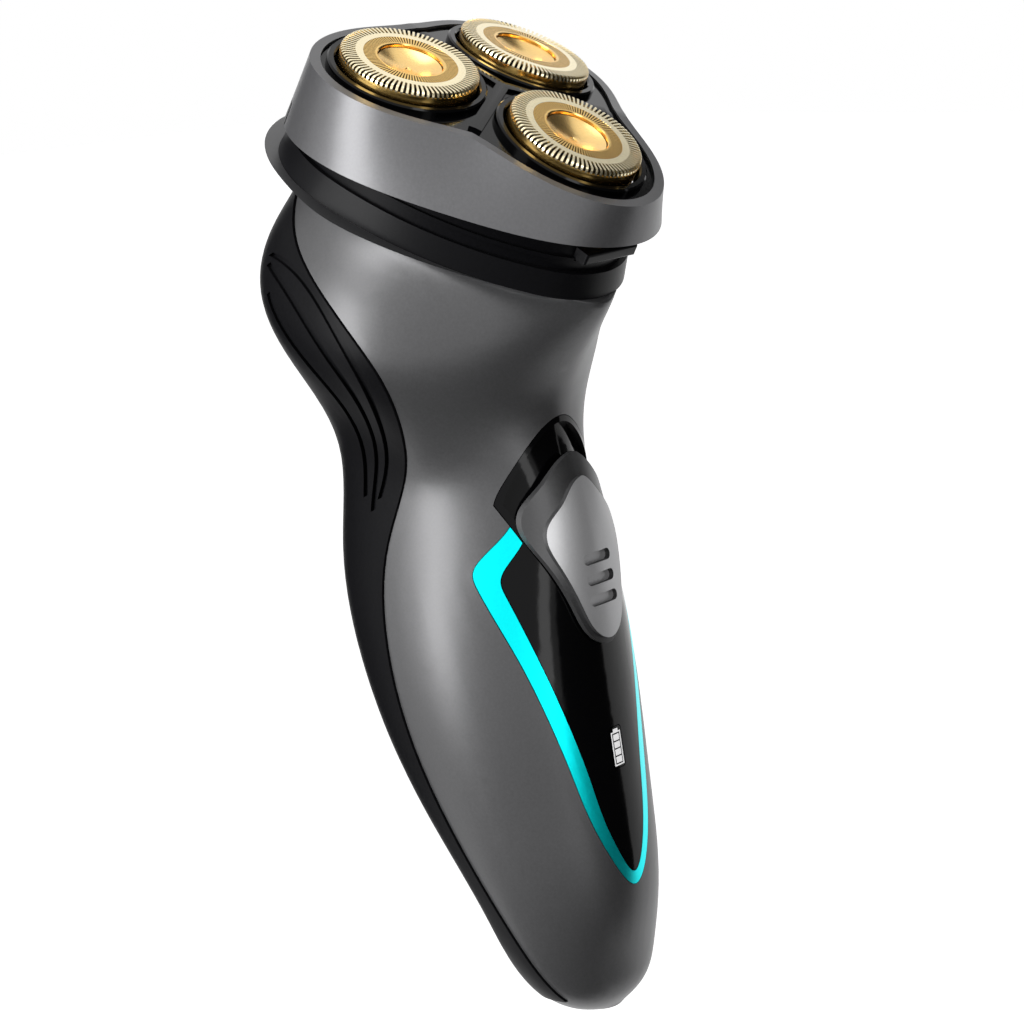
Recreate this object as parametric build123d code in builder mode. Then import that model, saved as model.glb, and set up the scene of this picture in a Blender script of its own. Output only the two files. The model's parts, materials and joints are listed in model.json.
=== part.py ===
from build123d import *
from collections import namedtuple
from functools import cache
from math import cos, pi, radians, sin
import os

# Electric shaver with three round cutters on a tilted, hinged head.
# Millimetres, +Z up the handle, front towards -Y, origin at the middle of the grip.

# Fits and walls
SEAM = 0.12
SLIP = 0.20
RUN_GAP = 0.08
CLEAR = 0.40
WALL = 2.2
COVER_PROUD = 0.4
FAR = 80.0

# Head plane: the tops of the three caps lie about it
HEAD_Y = -8.0
HEAD_Z = 86.0
HEAD_TILT = 30.0
CAP_ANGLES = (-90, 30, 150)
LOBE_STEP = 60

# Drive train on the head's axis, heights measured down from the head plane
GEAR_MODULE = 0.8
PINION_TEETH = 11
GEAR_TEETH = 26
GEAR_CENTRES = GEAR_MODULE * (PINION_TEETH + GEAR_TEETH) / 2
TOOTH_ADDENDUM = 0.55
TOOTH_DEDENDUM = 0.85
TOOTH_SHARE = 0.34
GEAR_THICK = 3.0
GEAR_HUB_R = 3.4
GEAR_HUB_TOP = -11.2
GEAR_FLOOR = 0.9
AXLE_R = 0.8
AXLE_TOP = -13.6
STEM_ACROSS = 4.2
STEM_LENGTH = 7.2
DOG_TOP = -4.6
DOG_LENGTH = 2.8
DOG_BASE = 3.2
DOG_TIP = 1.6
SPRING_WALL = 0.7
SEAL_WIDTH = 1.4
SEAL_HEIGHT = 0.5

# Caps and cutters, measured from each cap's own top plane
CAP_LEAN = 5.2
CAP_PIVOT = 6.0
CAP_R = 10.5
CAP_TOP_THICK = 0.5
CAP_SKIRT = 0.6
CAP_TRACK_IN_R = 4.9
CAP_EDGE_R = 0.45
CAP_FLANGE_R = 11.3
CAP_FLANGE_THICK = 0.6
CAP_FLOAT = 1.6
DISH_R = 4.6
DISH_DEPTH = 1.1
DISH_THICK = 0.5
BLADE_COUNT = 15
BLADE_HEIGHT = 1.3
BLADE_WIDE = 0.6
CUTTER_R = 9.3
CUTTER_IN_R = 5.4
CUTTER_DISC = 0.8
CUTTER_HUB_R = 3.0
CUTTER_BOTTOM = 6.9
SOCKET_ROOM = 0.4

# Head bezel, plate and retaining frame
BEZEL_MEAN = 24.7
BEZEL_SWING = 4.9
BEZEL_FOOT_MEAN = 28.7
BEZEL_FOOT_SWING = 2.1
BEZEL_FOOT_Y = -2.2
BEZEL_FOOT_Z = 74.0
BEZEL_FOOT_TILT = 23.5
BEZEL_WALL = 1.6
BEZEL_RIM = 2.4
PLATE_DROP = 2.9
PLATE_THICK = 1.6
SEAT_WIDTH = 1.2
SEAT_HEIGHT = 1.0
STRIP_WIDE = 2.0
STRIP_LENGTH = 17.5
STRIP_HIGH = 0.5
FRAME_TOP = -6.6
FRAME_THICK = 1.2
FRAME_RING_R = 9.0
FRAME_ARM = 5.0
BOSS_R = 3.2
LOCK_R = 5.0
LOCK_HEIGHT = 2.1
LOCK_STEM_R = 1.5
LOCK_SLOT = 7.0
LOCK_STEM = 2.6
LOCK_GRIPS = 12

# Collar between the head and the handle
COLLAR_TOP = -12.2
COLLAR_PLATE = 3.0
COLLAR_STEP = -16.4
SHELL_TOP = -20.2
COLLAR_UPPER = (27.6, 17.0, 24.3)
COLLAR_LOWER = (28.6, 17.0, 25.0)
COLLAR_BASE = (29.6, 17.0, 25.6)
COLLAR_BEAD = -14.6
BEAD_HIGH = 0.6
BEAD_PROUD = 0.5
COLLAR_WALL = 1.8
SPIGOT = 4.0
GASKET_WIDE = 1.2
GASKET_HIGH = 0.4
GASKET_INSET = 2.4

# Hinge at the back of the head
HINGE_BACK = 26.0
HINGE_DOWN = -11.0
HINGE_PIN_R = 0.8
KNUCKLE_R = 1.7
KNUCKLE_HALF = 3.0
KNUCKLE_REACH = 4.4
LUG_WIDE = 2.6
LUG_DROP = 5.0
HOUSING_FRONT = 17.5

# Release button in the collar's front notch
BUTTON_HALF = 6.0
BUTTON_HIGH = 1.8
BUTTON_FRONT = 28.9
BUTTON_DEEP = 5.6
BUTTON_TRAVEL = 1.2
NOSE_HALF = 2.5
NOSE_DEEP = 1.2
NOSE_HIGH = 2.4
RELEASE_SPRING_R = 0.7
RELEASE_SPRING_LENGTH = 2.4

# Gear plate and motor
PLATE_GAP = 1.7
GEAR_PLATE_THICK = 2.0
PLATE_SCREW_CIRCLE = 16.4
PLATE_POST_R = 2.2
MOTOR_R = 10.0
MOTOR_ACROSS = 15.4
MOTOR_LENGTH = 23.0
MOTOR_END = 4.0
MOTOR_BOSS_R = 3.0
MOTOR_BOSS_HIGH = 1.2
MOTOR_SHAFT_R = 1.0
MOTOR_SCREW_CIRCLE = 6.2
SCREW_R = 0.9
SCREW_HEAD_R = 1.7
SCREW_HEAD_HIGH = 1.0
PLATE_SCREW_LENGTH = 4.0
MOTOR_SCREW_DEPTH = 2.0
MOTOR_EDGE = 1.0

# Handle cross sections from the rounded tip up to the collar
Section = namedtuple("Section", "name y z tilt half_width front back front_round back_round")
SECTIONS = [
    Section("tip", -16.4, -60.0, 0, 3.8, 3.6, 3.6, 2.0, 2.0),
    Section("toe", -16.0, -59.0, 0, 6.6, 4.8, 4.8, 2.05, 2.1),
    Section("heel", -15.4, -56.6, 0, 10.0, 7.1, 6.5, 2.1, 2.2),
    Section("foot", -14.2, -52.0, 0, 13.0, 9.2, 8.2, 2.05, 2.4),
    Section("calf", -11.6, -43.5, 0, 15.6, 13.1, 9.2, 1.97, 2.5),
    Section("lower_grip", -5.5, -26.0, 0, 19.0, 18.3, 12.8, 1.95, 2.8),
    Section("grip", 0.0, -4.0, 0, 21.0, 21.2, 17.2, 1.97, 3.0),
    Section("upper_grip", 3.0, 13.0, 5, 19.0, 22.4, 19.0, 1.95, 3.0),
    Section("waist", 5.0, 28.0, 11, 16.8, 22.4, 18.0, 1.8, 3.0),
    Section("neck", 6.0, 42.0, 18, 24.2, 22.0, 24.0, 1.62, 3.0),
    Section("shoulder", 4.5, 56.0, 25, 24.6, 26.0, 27.0, 1.6, 2.8),
]
CROWN = (30.2, 30.6, 28.2, 1.42, 2.5)
CROWN_OVER = 1.0
SECTION_STEPS = 24
CAVITY_LEAST = 4.6
HEEL_BACK = -12.4

# Side view of the seam between the front shell and the rear cover
PARTING = [
    (33.0, 92.0), (24.0, 76.0), (17.0, 64.5), (7.6, 55.8), (-0.7, 44.0), (0.9, 31.8),
    (5.6, 17.0), (5.2, 4.0), (-1.3, -21.0), (-11.6, -43.0), (-18.0, -56.2),
]
RIB_PATHS = [
    [(21.0, 62.0), (5.1, 52.4), (1.5, 44.0), (3.6, 33.0), (7.2, 24.0)],
    [(21.0, 60.6), (6.6, 47.8), (4.4, 42.0), (6.4, 31.8), (8.6, 22.0)],
    [(20.0, 56.4), (11.6, 45.0), (9.2, 40.2), (9.3, 33.0), (10.4, 24.0)],
]
RIB_GROOVE = 1.1
RIB_DEPTH = 0.7

# Front view of the trim, panel, pocket and switch, left halves from the top down
TRIM_SIDE = [
    (-9.6, 21.6), (-13.6, 16.2), (-15.5, 13.0), (-15.6, 10.6), (-13.6, 0.0), (-9.0, -18.6), (-4.4, -33.2),
]
TRIM_TIP = -38.3
PANEL_SIDE = [
    (-9.0, 18.6), (-11.8, 14.6), (-13.3, 11.8), (-13.2, 9.6), (-11.2, 0.0), (-6.2, -20.0), (-2.9, -32.2),
]
PANEL_TIP = -36.1
POCKET_SIDE = [(-11.4, 23.2), (-7.3, 30.4)]
POCKET_APEX = 35.3
POCKET_FOOT = (-9.6, 17.4)
POCKET_BEVEL = 0.9
POCKET_DEPTH = 1.3
SWITCH_SIDE = [
    (-2.2, 29.1), (-6.2, 25.8), (-9.7, 21.8), (-10.1, 20.4), (-8.6, 14.6), (-5.6, 7.0), (-3.0, 1.8),
]
SWITCH_APEX = 29.8
SWITCH_TIP = 0.4
PAD_SIDE = [
    (-1.6, 25.6), (-4.4, 22.8), (-7.6, 19.4), (-8.0, 18.0), (-7.0, 13.4), (-4.8, 7.0), (-2.6, 2.6),
]
PAD_APEX = 26.2
PAD_TIP = 1.4
SWITCH_LIFT = 0.5
SWITCH_RIM = 0.8
PAD_HIGH = 0.7
SWITCH_GRIPS = 3
GRIP_PITCH = 3.2
GRIP_LENGTH = 6.4
GRIP_WIDE = 1.7
GRIP_DEPTH = 0.8
GRIP_MIDDLE = -4.4
GAUGE_HALF = 1.4
GAUGE_HIGH = 6.4
GAUGE_MIDDLE = -16.3
GAUGE_THICK = 0.9
PRISM_START = 3.0

# Slide switch travel plane, tangent to the front
SLIDE_Y = -18.2
SLIDE_Z = 14.6
SLIDE_TILT = 10.4
SLIDE_TRAVEL = 5.0
STEM_WIDE = 4.0
STEM_LONG = 8.0
STEM_BASE = 1.4
CARRIAGE_WIDE = 8.0
CARRIAGE_LONG = 12.0
CARRIAGE_THICK = 1.2
CARRIAGE_DROP = 4.0

# Circuit board, cell and chassis
BOARD_DROP = 7.8
BOARD_THICK = 1.2
BOARD_HALF = 7.0
BOARD_TOP = 12.0
BOARD_BOTTOM = -43.0
CELL_R = 7.1
CELL_LENGTH = 50.0
CELL_FOOT_Y = -6.6
CELL_FOOT_Z = -31.0
CELL_TILT = 12.0
CELL_TAB = 0.4
CELL_TAB_R = 4.0
BULKHEAD = 3.0
BULKHEAD_GAP = 0.8
COVER_SCREW_LENGTH = 7.0
SCREW_SEATS = (8.95, 16.9)
SCREW_HEIGHTS = (-BULKHEAD_GAP - BULKHEAD / 2, CELL_LENGTH + BULKHEAD_GAP + BULKHEAD / 2)
CONTACT_R = 0.8
CHIP_SIDE = 7.0
CHIP_HIGH = 1.0
CELL_BUTTON_HIGH = 1.0
CELL_BUTTON_R = 2.8
CRADLE_WALL = 1.5

# Charging socket in the tip
JACK_R = 2.05
JACK_WALL = 0.9
JACK_LENGTH = 9.0
JACK_FLOOR = 1.0


def polar(radius, angle):
    """Point on a circle, angle in degrees."""
    return Vector(radius * cos(radians(angle)), radius * sin(radians(angle)))


def tilted_plane(y, z, tilt):
    """Plane across the handle: its own x is X, its own y runs to the back."""
    return Plane(origin=(0, y, z), x_dir=(1, 0, 0), z_dir=(0, -sin(radians(tilt)), cos(radians(tilt))))


HEAD = tilted_plane(HEAD_Y, HEAD_Z, HEAD_TILT)
HEAD_UP = Axis(HEAD.origin, HEAD.z_dir)
HEAD_BACK = Axis(HEAD.origin, HEAD.y_dir)
BEZEL_FOOT = tilted_plane(BEZEL_FOOT_Y, BEZEL_FOOT_Z, BEZEL_FOOT_TILT)
SLIDE = Plane(
    origin=(0, SLIDE_Y, SLIDE_Z),
    x_dir=(1, 0, 0),
    z_dir=(0, -cos(radians(SLIDE_TILT)), sin(radians(SLIDE_TILT))),
)
CELL = tilted_plane(CELL_FOOT_Y, CELL_FOOT_Z, -CELL_TILT)
TIP = SECTIONS[0]
JACK = Plane(origin=(0, TIP.y, TIP.z))
GEAR_TOP = COLLAR_TOP - COLLAR_PLATE - CLEAR
GEAR_BOTTOM = GEAR_TOP - GEAR_THICK
GEAR_PLATE_TOP = GEAR_BOTTOM - PLATE_GAP
MOTOR_TOP = GEAR_PLATE_TOP - GEAR_PLATE_THICK
MOTOR_BOTTOM = MOTOR_TOP - MOTOR_LENGTH
STEM_TOP = DOG_TOP - DOG_LENGTH
STEM_BOTTOM = STEM_TOP - STEM_LENGTH
BUTTON_TOP = COLLAR_TOP - SLIP


def spindle_plane(angle):
    """Head plane moved to one spindle's axis, its own x pointing outwards."""
    radial = HEAD.x_dir * cos(radians(angle)) + HEAD.y_dir * sin(radians(angle))
    return Plane(origin=HEAD.origin + radial * GEAR_CENTRES, x_dir=radial, z_dir=HEAD.z_dir)


def cap_plane(angle, drop=0.0):
    """Top plane of one cap, leaning outwards about a pivot on its spindle."""
    spindle = spindle_plane(angle)
    lean = radians(CAP_LEAN)
    normal = spindle.z_dir * cos(lean) + spindle.x_dir * sin(lean)
    radial = spindle.x_dir * cos(lean) - spindle.z_dir * sin(lean)
    pivot = spindle.origin - spindle.z_dir * CAP_PIVOT
    return Plane(origin=pivot + normal * (CAP_PIVOT - drop), x_dir=radial, z_dir=normal)


def lobed_outline(reach, lobe, waist):
    """Six tangent arcs: three lobes towards the caps, joined by hollow or bulging sides."""
    centre = reach - lobe
    along = centre * cos(radians(LOBE_STEP))
    across = centre * sin(radians(LOBE_STEP))
    depth = waist - along
    side = (depth**2 + across**2 - lobe**2) / (2 * (lobe - depth))
    towards = 1 if side > 0 else -1

    def touch(angle, turn):
        lobe_centre = polar(centre, angle)
        side_centre = polar(waist + side, angle + turn * LOBE_STEP)
        return lobe_centre + (side_centre - lobe_centre).normalized() * lobe * towards

    for angle in CAP_ANGLES:
        ThreePointArc(touch(angle, -1), polar(reach, angle), touch(angle, 1))
        following = angle + 2 * LOBE_STEP
        ThreePointArc(touch(angle, 1), polar(waist, angle + LOBE_STEP), touch(following, -1))


def lobed_block(outlines):
    """Solid through lobed outlines, each given as (height, reach, lobe, waist)."""
    with BuildPart() as block:
        for height, reach, lobe, waist in outlines:
            with BuildSketch(HEAD.offset(height)):
                with BuildLine():
                    lobed_outline(reach, lobe, waist)
                make_face()
        loft()
    return block.part


def trefoil(mean, swing):
    """One smooth closed wave with three lobes towards the caps."""
    points = []
    for step in range(SECTION_STEPS):
        turn = 360 * step / SECTION_STEPS
        points.append(polar(mean + swing * cos(radians(3 * turn)), CAP_ANGLES[0] + turn))
    Spline(*points, periodic=True)


@cache
def bezel_block(inset):
    """The bezel's outer form, drawn in by a wall: nearly round at its foot, three lobes at its rim."""
    with BuildPart() as block:
        with BuildSketch(BEZEL_FOOT):
            with BuildLine():
                trefoil(BEZEL_FOOT_MEAN - inset, BEZEL_FOOT_SWING)
            make_face()
        with BuildSketch(HEAD):
            with BuildLine():
                trefoil(BEZEL_MEAN - inset, BEZEL_SWING)
            make_face()
        loft()
    return block.part


def hinge_zone(gap):
    """The space low at the back of the bezel that the collar's hinge housing fills."""
    with BuildPart() as zone:
        with BuildSketch(HEAD.offset(COLLAR_TOP + gap)):
            with Locations((0, HOUSING_FRONT - gap + FAR / 2)):
                Rectangle(2 * FAR, FAR)
        extrude(amount=-FAR / 2)
    return zone.part


def roofed(block, drop):
    """Cut a block back to the three leaning planes that lie this far under the caps' tops."""
    with BuildPart() as roof:
        add(block)
        for angle in CAP_ANGLES:
            split(bisect_by=cap_plane(angle, drop), keep=Keep.BOTTOM)
    return roof.part


def oval_points(half_width, front, back, front_round, back_round):
    """Points round one section, from the middle of the back past +X, the front and -X."""
    points = []
    for step in range(SECTION_STEPS):
        turn = 2 * pi * step / SECTION_STEPS
        depth, roundness = (back, back_round) if cos(turn) > 0 else (front, front_round)
        x = abs(sin(turn)) ** (2 / roundness) * half_width
        y = abs(cos(turn)) ** (2 / roundness) * depth
        points.append((x if sin(turn) > 0 else -x, y if cos(turn) > 0 else -y))
    return points


@cache
def handle_form(inset):
    """The handle's outer form, drawn in by a wall. A drawn-in form runs past the crown."""
    crown_plane = HEAD.offset(SHELL_TOP + CROWN_OVER if inset > 0 else SHELL_TOP)
    rings = [(tilted_plane(s.y, s.z, s.tilt), s[4:]) for s in SECTIONS] + [(crown_plane, CROWN)]
    with BuildPart() as form:
        for plane, (half_width, front, back, front_round, back_round) in rings:
            if min(half_width, front, back) < inset + CAVITY_LEAST and inset > 0:
                continue
            with BuildSketch(plane):
                with BuildLine():
                    sizes = (half_width - inset, front - inset, back - inset)
                    Spline(*oval_points(*sizes, front_round, back_round), periodic=True)
                make_face()
        loft()
    return form.part


def handle_slice(inset, top, bottom):
    """Slice of the drawn-in handle form between two heights on the head's axis."""
    with BuildPart() as piece:
        with BuildSketch(HEAD.offset(bottom)):
            Rectangle(FAR, FAR)
        extrude(amount=top - bottom)
        add(handle_form(inset), mode=Mode.INTERSECT)
    return piece.part


def rear_zone(gap):
    """Everything behind the seam, moved back by a gap."""
    with BuildPart() as zone:
        with BuildSketch(Plane.YZ):
            with BuildLine():
                seam = Spline(*[(y + gap, z) for y, z in PARTING])
                Polyline(seam @ 1, (FAR, PARTING[-1][1] + gap), (FAR, PARTING[0][1]), seam @ 0)
            make_face()
        extrude(amount=FAR / 2, both=True)
    return zone.part


def both_sides(points, middle, grow=0.0):
    """A left half outline, its point on the middle line, and its mirror image, all moved outwards."""
    half = [(x - grow, z) for x, z in points]
    outwards = grow if middle > points[-1][1] else -grow
    return half + [(0, middle + outwards)] + [(-x, z) for x, z in reversed(half)]


def shield_outline(grow, side, tip):
    """V-shaped outline with rounded corners: one sweep to the tip and back, closed across the top."""
    sweep = both_sides(side, tip, grow)
    Spline(*sweep)
    Line(sweep[-1], sweep[0])


def pocket_outline(grow):
    """Leaf-shaped thumb pocket above the panel."""
    crown = both_sides(POCKET_SIDE, POCKET_APEX, grow)
    foot = (POCKET_FOOT[0] - grow, POCKET_FOOT[1])
    Spline(*crown)
    Polyline(crown[-1], (-foot[0], foot[1]), foot, crown[0])


def leaf_outline(grow, side, apex, tip):
    """Closed kite with rounded corners, from its apex down one side and up the other."""
    left = [(x - grow, z) for x, z in side]
    right = [(-x, z) for x, z in reversed(left)]
    Spline((0, apex + grow), *left, (0, tip - grow), *right, periodic=True)


def front_prism(outline, *details, grow=0.0):
    """A front-view outline carried forwards through the front wall."""
    with BuildPart() as prism:
        with BuildSketch(Plane.XZ.offset(PRISM_START)):
            with BuildLine():
                outline(grow, *details)
            make_face()
        extrude(amount=FAR)
    return prism.part


def skin_within(zone, top_inset, bottom_inset):
    """The layer of the handle between two insets, inside a zone."""
    with BuildPart() as skin:
        add(handle_form(top_inset))
        add(handle_form(bottom_inset), mode=Mode.SUBTRACT)
        add(zone, mode=Mode.INTERSECT)
    return skin.part


def write(part, label):
    """Label one finished piece and write it."""
    part.label = label
    export_step(part, f"parts/{label}.step")


os.makedirs("parts", exist_ok=True)

OUTER = handle_form(0)
INNER = handle_form(WALL)
REAR = rear_zone(0)
TRIM_PRISM = front_prism(shield_outline, TRIM_SIDE, TRIM_TIP)
PANEL_PRISM = front_prism(shield_outline, PANEL_SIDE, PANEL_TIP)
POCKET_PRISM = front_prism(pocket_outline)

# Front shell: satin grey, with the window for the trim and the panel
with BuildPart() as front_shell:
    add(OUTER)
    add(INNER, mode=Mode.SUBTRACT)
    add(REAR, mode=Mode.SUBTRACT)
    add(front_prism(shield_outline, TRIM_SIDE, TRIM_TIP, grow=SEAM), mode=Mode.SUBTRACT)
    add(front_prism(pocket_outline, grow=SEAM), mode=Mode.SUBTRACT)
    with BuildSketch(JACK):
        Circle(JACK_R + JACK_WALL + SEAM)
    extrude(amount=JACK_LENGTH + SEAM, mode=Mode.SUBTRACT)
    with BuildSketch(Plane.XY.offset(PARTING[-1][1])):
        with Locations((0, HEEL_BACK + FAR / 2)):
            Rectangle(FAR, FAR)
    extrude(amount=-FAR, mode=Mode.SUBTRACT)
write(front_shell.part, "front_shell")

# Rear cover: black, a little proud of the shell, with grooves beside the seam
def rib_groove(path):
    """One long groove that runs down beside the seam and closes towards the waist."""
    with BuildPart() as groove:
        with BuildSketch(Plane.YZ):
            with BuildLine():
                upper = Spline(*path)
                lower = Spline(*[(y + RIB_GROOVE, z - RIB_GROOVE / 2) for y, z in path])
                Line(upper @ 0, lower @ 0)
                Line(upper @ 1, lower @ 1)
            make_face()
        extrude(amount=FAR / 2, both=True)
    return groove.part


def cover_screw_plane(height):
    """Plane square to one rear screw, its own z pointing out of the back."""
    middle = CELL.origin + CELL.z_dir * height
    return Plane(origin=middle, x_dir=(1, 0, 0), z_dir=CELL.y_dir)


with BuildPart() as rear_cover:
    add(skin_within(rear_zone(SEAM), -COVER_PROUD, WALL))
    for path in RIB_PATHS:
        add(skin_within(rib_groove(path), -COVER_PROUD, RIB_DEPTH - COVER_PROUD), mode=Mode.SUBTRACT)
    for height, seat in zip(SCREW_HEIGHTS, SCREW_SEATS):
        with BuildSketch(cover_screw_plane(height)):
            Circle(SCREW_R + SLIP)
        extrude(amount=FAR, mode=Mode.SUBTRACT)
        with BuildSketch(cover_screw_plane(height).offset(seat)):
            Circle(SCREW_HEAD_R + SLIP)
        extrude(amount=FAR, mode=Mode.SUBTRACT)
    with BuildSketch(JACK):
        Circle(JACK_R + JACK_WALL + SLIP)
    extrude(amount=JACK_LENGTH + SLIP, mode=Mode.SUBTRACT)
write(rear_cover.part, "rear_cover")

with BuildPart() as cover_screws:
    for height, seat in zip(SCREW_HEIGHTS, SCREW_SEATS):
        with BuildSketch(cover_screw_plane(height).offset(seat)):
            Circle(SCREW_HEAD_R)
        extrude(amount=SCREW_HEAD_HIGH)
        with BuildSketch(cover_screw_plane(height).offset(seat - COVER_SCREW_LENGTH)):
            Circle(SCREW_R)
        extrude(amount=COVER_SCREW_LENGTH)
write(cover_screws.part, "cover_screws")


def gauge_block(grow):
    """Rounded window of the battery gauge, carried through the front."""
    with BuildPart() as block:
        with BuildSketch(Plane.XZ):
            with Locations((0, GAUGE_MIDDLE)):
                RectangleRounded(2 * (GAUGE_HALF + grow), GAUGE_HIGH + 2 * grow, GAUGE_HALF / 2)
        extrude(amount=FAR)
    return block.part


# Display panel with the switch's pocket and stem slot
with BuildPart() as display_panel:
    add(PANEL_PRISM)
    add(POCKET_PRISM)
    add(OUTER, mode=Mode.INTERSECT)
    add(INNER, mode=Mode.SUBTRACT)
    pocket_floor = front_prism(pocket_outline, grow=-POCKET_BEVEL)
    add(skin_within(pocket_floor, 0, POCKET_DEPTH), mode=Mode.SUBTRACT)
    add(skin_within(gauge_block(SEAM), 0, GAUGE_THICK + SEAM), mode=Mode.SUBTRACT)
    with BuildSketch(SLIDE.offset(-2 * WALL)):
        with Locations((0, (STEM_LONG + SLIDE_TRAVEL) / 2)):
            Rectangle(STEM_WIDE + 2 * CLEAR, STEM_LONG + SLIDE_TRAVEL + 2 * CLEAR)
    extrude(amount=FAR, mode=Mode.SUBTRACT)
write(display_panel.part, "display_panel")

# Battery gauge window, flush in the panel
with BuildPart() as battery_gauge:
    add(skin_within(gauge_block(0), 0, GAUGE_THICK))
write(battery_gauge.part, "battery_gauge")

# Accent trim: the V-shaped band round the panel
with BuildPart() as accent_trim:
    add(TRIM_PRISM)
    add(front_prism(shield_outline, PANEL_SIDE, PANEL_TIP, grow=SEAM), mode=Mode.SUBTRACT)
    add(front_prism(pocket_outline, grow=SEAM), mode=Mode.SUBTRACT)
    add(OUTER, mode=Mode.INTERSECT)
    add(INNER, mode=Mode.SUBTRACT)
write(accent_trim.part, "accent_trim")


# Slide switch: a kite-shaped cap with a raised pad and three grip grooves
SWITCH_TOP = SWITCH_LIFT + SWITCH_RIM
PAD_TOP = SWITCH_TOP + PAD_HIGH
with BuildPart() as slide_switch:
    switch_prism = front_prism(leaf_outline, SWITCH_SIDE, SWITCH_APEX, SWITCH_TIP)
    pad_prism = front_prism(leaf_outline, PAD_SIDE, PAD_APEX, PAD_TIP)
    add(skin_within(switch_prism, -SWITCH_TOP, -SWITCH_LIFT))
    add(skin_within(pad_prism, -PAD_TOP, -SWITCH_LIFT))
    with BuildSketch(SLIDE.offset(PAD_TOP - GRIP_DEPTH)):
        with Locations((0, GRIP_MIDDLE)):
            with GridLocations(0, GRIP_PITCH, 1, SWITCH_GRIPS):
                SlotOverall(GRIP_LENGTH, GRIP_WIDE)
    extrude(amount=FAR, mode=Mode.SUBTRACT)
    with BuildSketch(SLIDE.offset(-WALL)):
        with Locations((0, STEM_LONG / 2)):
            Rectangle(STEM_WIDE + 2 * SEAM, STEM_LONG + 2 * SEAM)
    extrude(amount=WALL + STEM_BASE + SEAM, mode=Mode.SUBTRACT)
write(slide_switch.part, "slide_switch")

# Carriage: the stem under the switch and the plate that bridges the contacts
with BuildPart() as switch_carriage:
    with BuildSketch(SLIDE.offset(-CARRIAGE_DROP)):
        with Locations((0, STEM_LONG / 2)):
            Rectangle(STEM_WIDE, STEM_LONG)
    extrude(amount=CARRIAGE_DROP + STEM_BASE)
    with BuildSketch(SLIDE.offset(-CARRIAGE_DROP - CARRIAGE_THICK)):
        with Locations((0, STEM_LONG / 2)):
            RectangleRounded(CARRIAGE_WIDE, CARRIAGE_LONG, CARRIAGE_THICK)
    extrude(amount=CARRIAGE_THICK)
    with BuildSketch(SLIDE.offset(-BOARD_DROP + CLEAR)):
        with Locations((0, STEM_LONG / 2)):
            with GridLocations(CARRIAGE_WIDE / 2, 0, 2, 1):
                Circle(CONTACT_R)
    extrude(amount=BOARD_DROP - CARRIAGE_DROP - CARRIAGE_THICK - CLEAR)
write(switch_carriage.part, "switch_carriage")

# Circuit board behind the panel, with a chip and a connector on it
with BuildPart() as circuit_board:
    board_middle = (BOARD_TOP + BOARD_BOTTOM) / 2
    with BuildSketch(SLIDE.offset(-BOARD_DROP - BOARD_THICK)):
        with Locations((0, board_middle)):
            RectangleRounded(2 * BOARD_HALF, BOARD_TOP - BOARD_BOTTOM, BOARD_HALF / 4)
    extrude(amount=BOARD_THICK)
    with BuildSketch(SLIDE.offset(-BOARD_DROP)):
        with Locations((0, board_middle)):
            Rectangle(CHIP_SIDE, CHIP_SIDE)
        with Locations((0, board_middle - 2 * CHIP_SIDE)):
            Rectangle(CHIP_SIDE, CHIP_SIDE / 2)
    extrude(amount=CHIP_HIGH)
write(circuit_board.part, "circuit_board")

# Rechargeable cell and its two end tabs
with BuildPart() as battery_cell:
    with BuildSketch(CELL):
        Circle(CELL_R)
    extrude(amount=CELL_LENGTH - CELL_BUTTON_HIGH)
    chamfer(battery_cell.edges().filter_by(GeomType.CIRCLE), CELL_BUTTON_HIGH / 2)
    with BuildSketch(CELL.offset(CELL_LENGTH - CELL_BUTTON_HIGH)):
        Circle(CELL_BUTTON_R)
    extrude(amount=CELL_BUTTON_HIGH)
write(battery_cell.part, "battery_cell")

with BuildPart() as battery_tabs:
    for height in (-SEAM - CELL_TAB, CELL_LENGTH + SEAM):
        with BuildSketch(CELL.offset(height)):
            SlotOverall(3 * CELL_TAB_R, 2 * CELL_TAB_R)
        extrude(amount=CELL_TAB)
write(battery_tabs.part, "battery_tabs")

# Chassis: two bulkheads that fit the shells, joined by the cell's cradle
BULKHEAD_SPAN = CELL_LENGTH + 2 * (BULKHEAD_GAP + BULKHEAD)
with BuildPart() as chassis:
    for height in (-BULKHEAD_GAP - BULKHEAD, CELL_LENGTH + BULKHEAD_GAP):
        with BuildSketch(CELL.offset(height)):
            Rectangle(FAR, FAR)
        extrude(amount=BULKHEAD)
    with BuildSketch(CELL.offset(-BULKHEAD_GAP - BULKHEAD)):
        Circle(CELL_R + SLIP + CRADLE_WALL)
        with Locations((0, -CELL_R - CRADLE_WALL)):
            Rectangle(FAR / 2, 2 * CELL_R, mode=Mode.SUBTRACT)
    extrude(amount=BULKHEAD_SPAN)
    with BuildSketch(CELL.offset(-BULKHEAD_GAP)):
        Circle(CELL_R + SLIP)
    extrude(amount=CELL_LENGTH + 2 * BULKHEAD_GAP, mode=Mode.SUBTRACT)
    add(handle_form(WALL + SLIP), mode=Mode.INTERSECT)
    split(bisect_by=SLIDE.offset(-BOARD_DROP - BOARD_THICK), keep=Keep.BOTTOM)
    for height, seat in zip(SCREW_HEIGHTS, SCREW_SEATS):
        with BuildSketch(cover_screw_plane(height).offset(seat - COVER_SCREW_LENGTH - SLIP)):
            Circle(SCREW_R + RUN_GAP)
        extrude(amount=FAR, mode=Mode.SUBTRACT)
        with BuildSketch(cover_screw_plane(height).offset(seat - SLIP)):
            Circle(SCREW_HEAD_R + SLIP)
        extrude(amount=FAR, mode=Mode.SUBTRACT)
write(chassis.part, "chassis")

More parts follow.
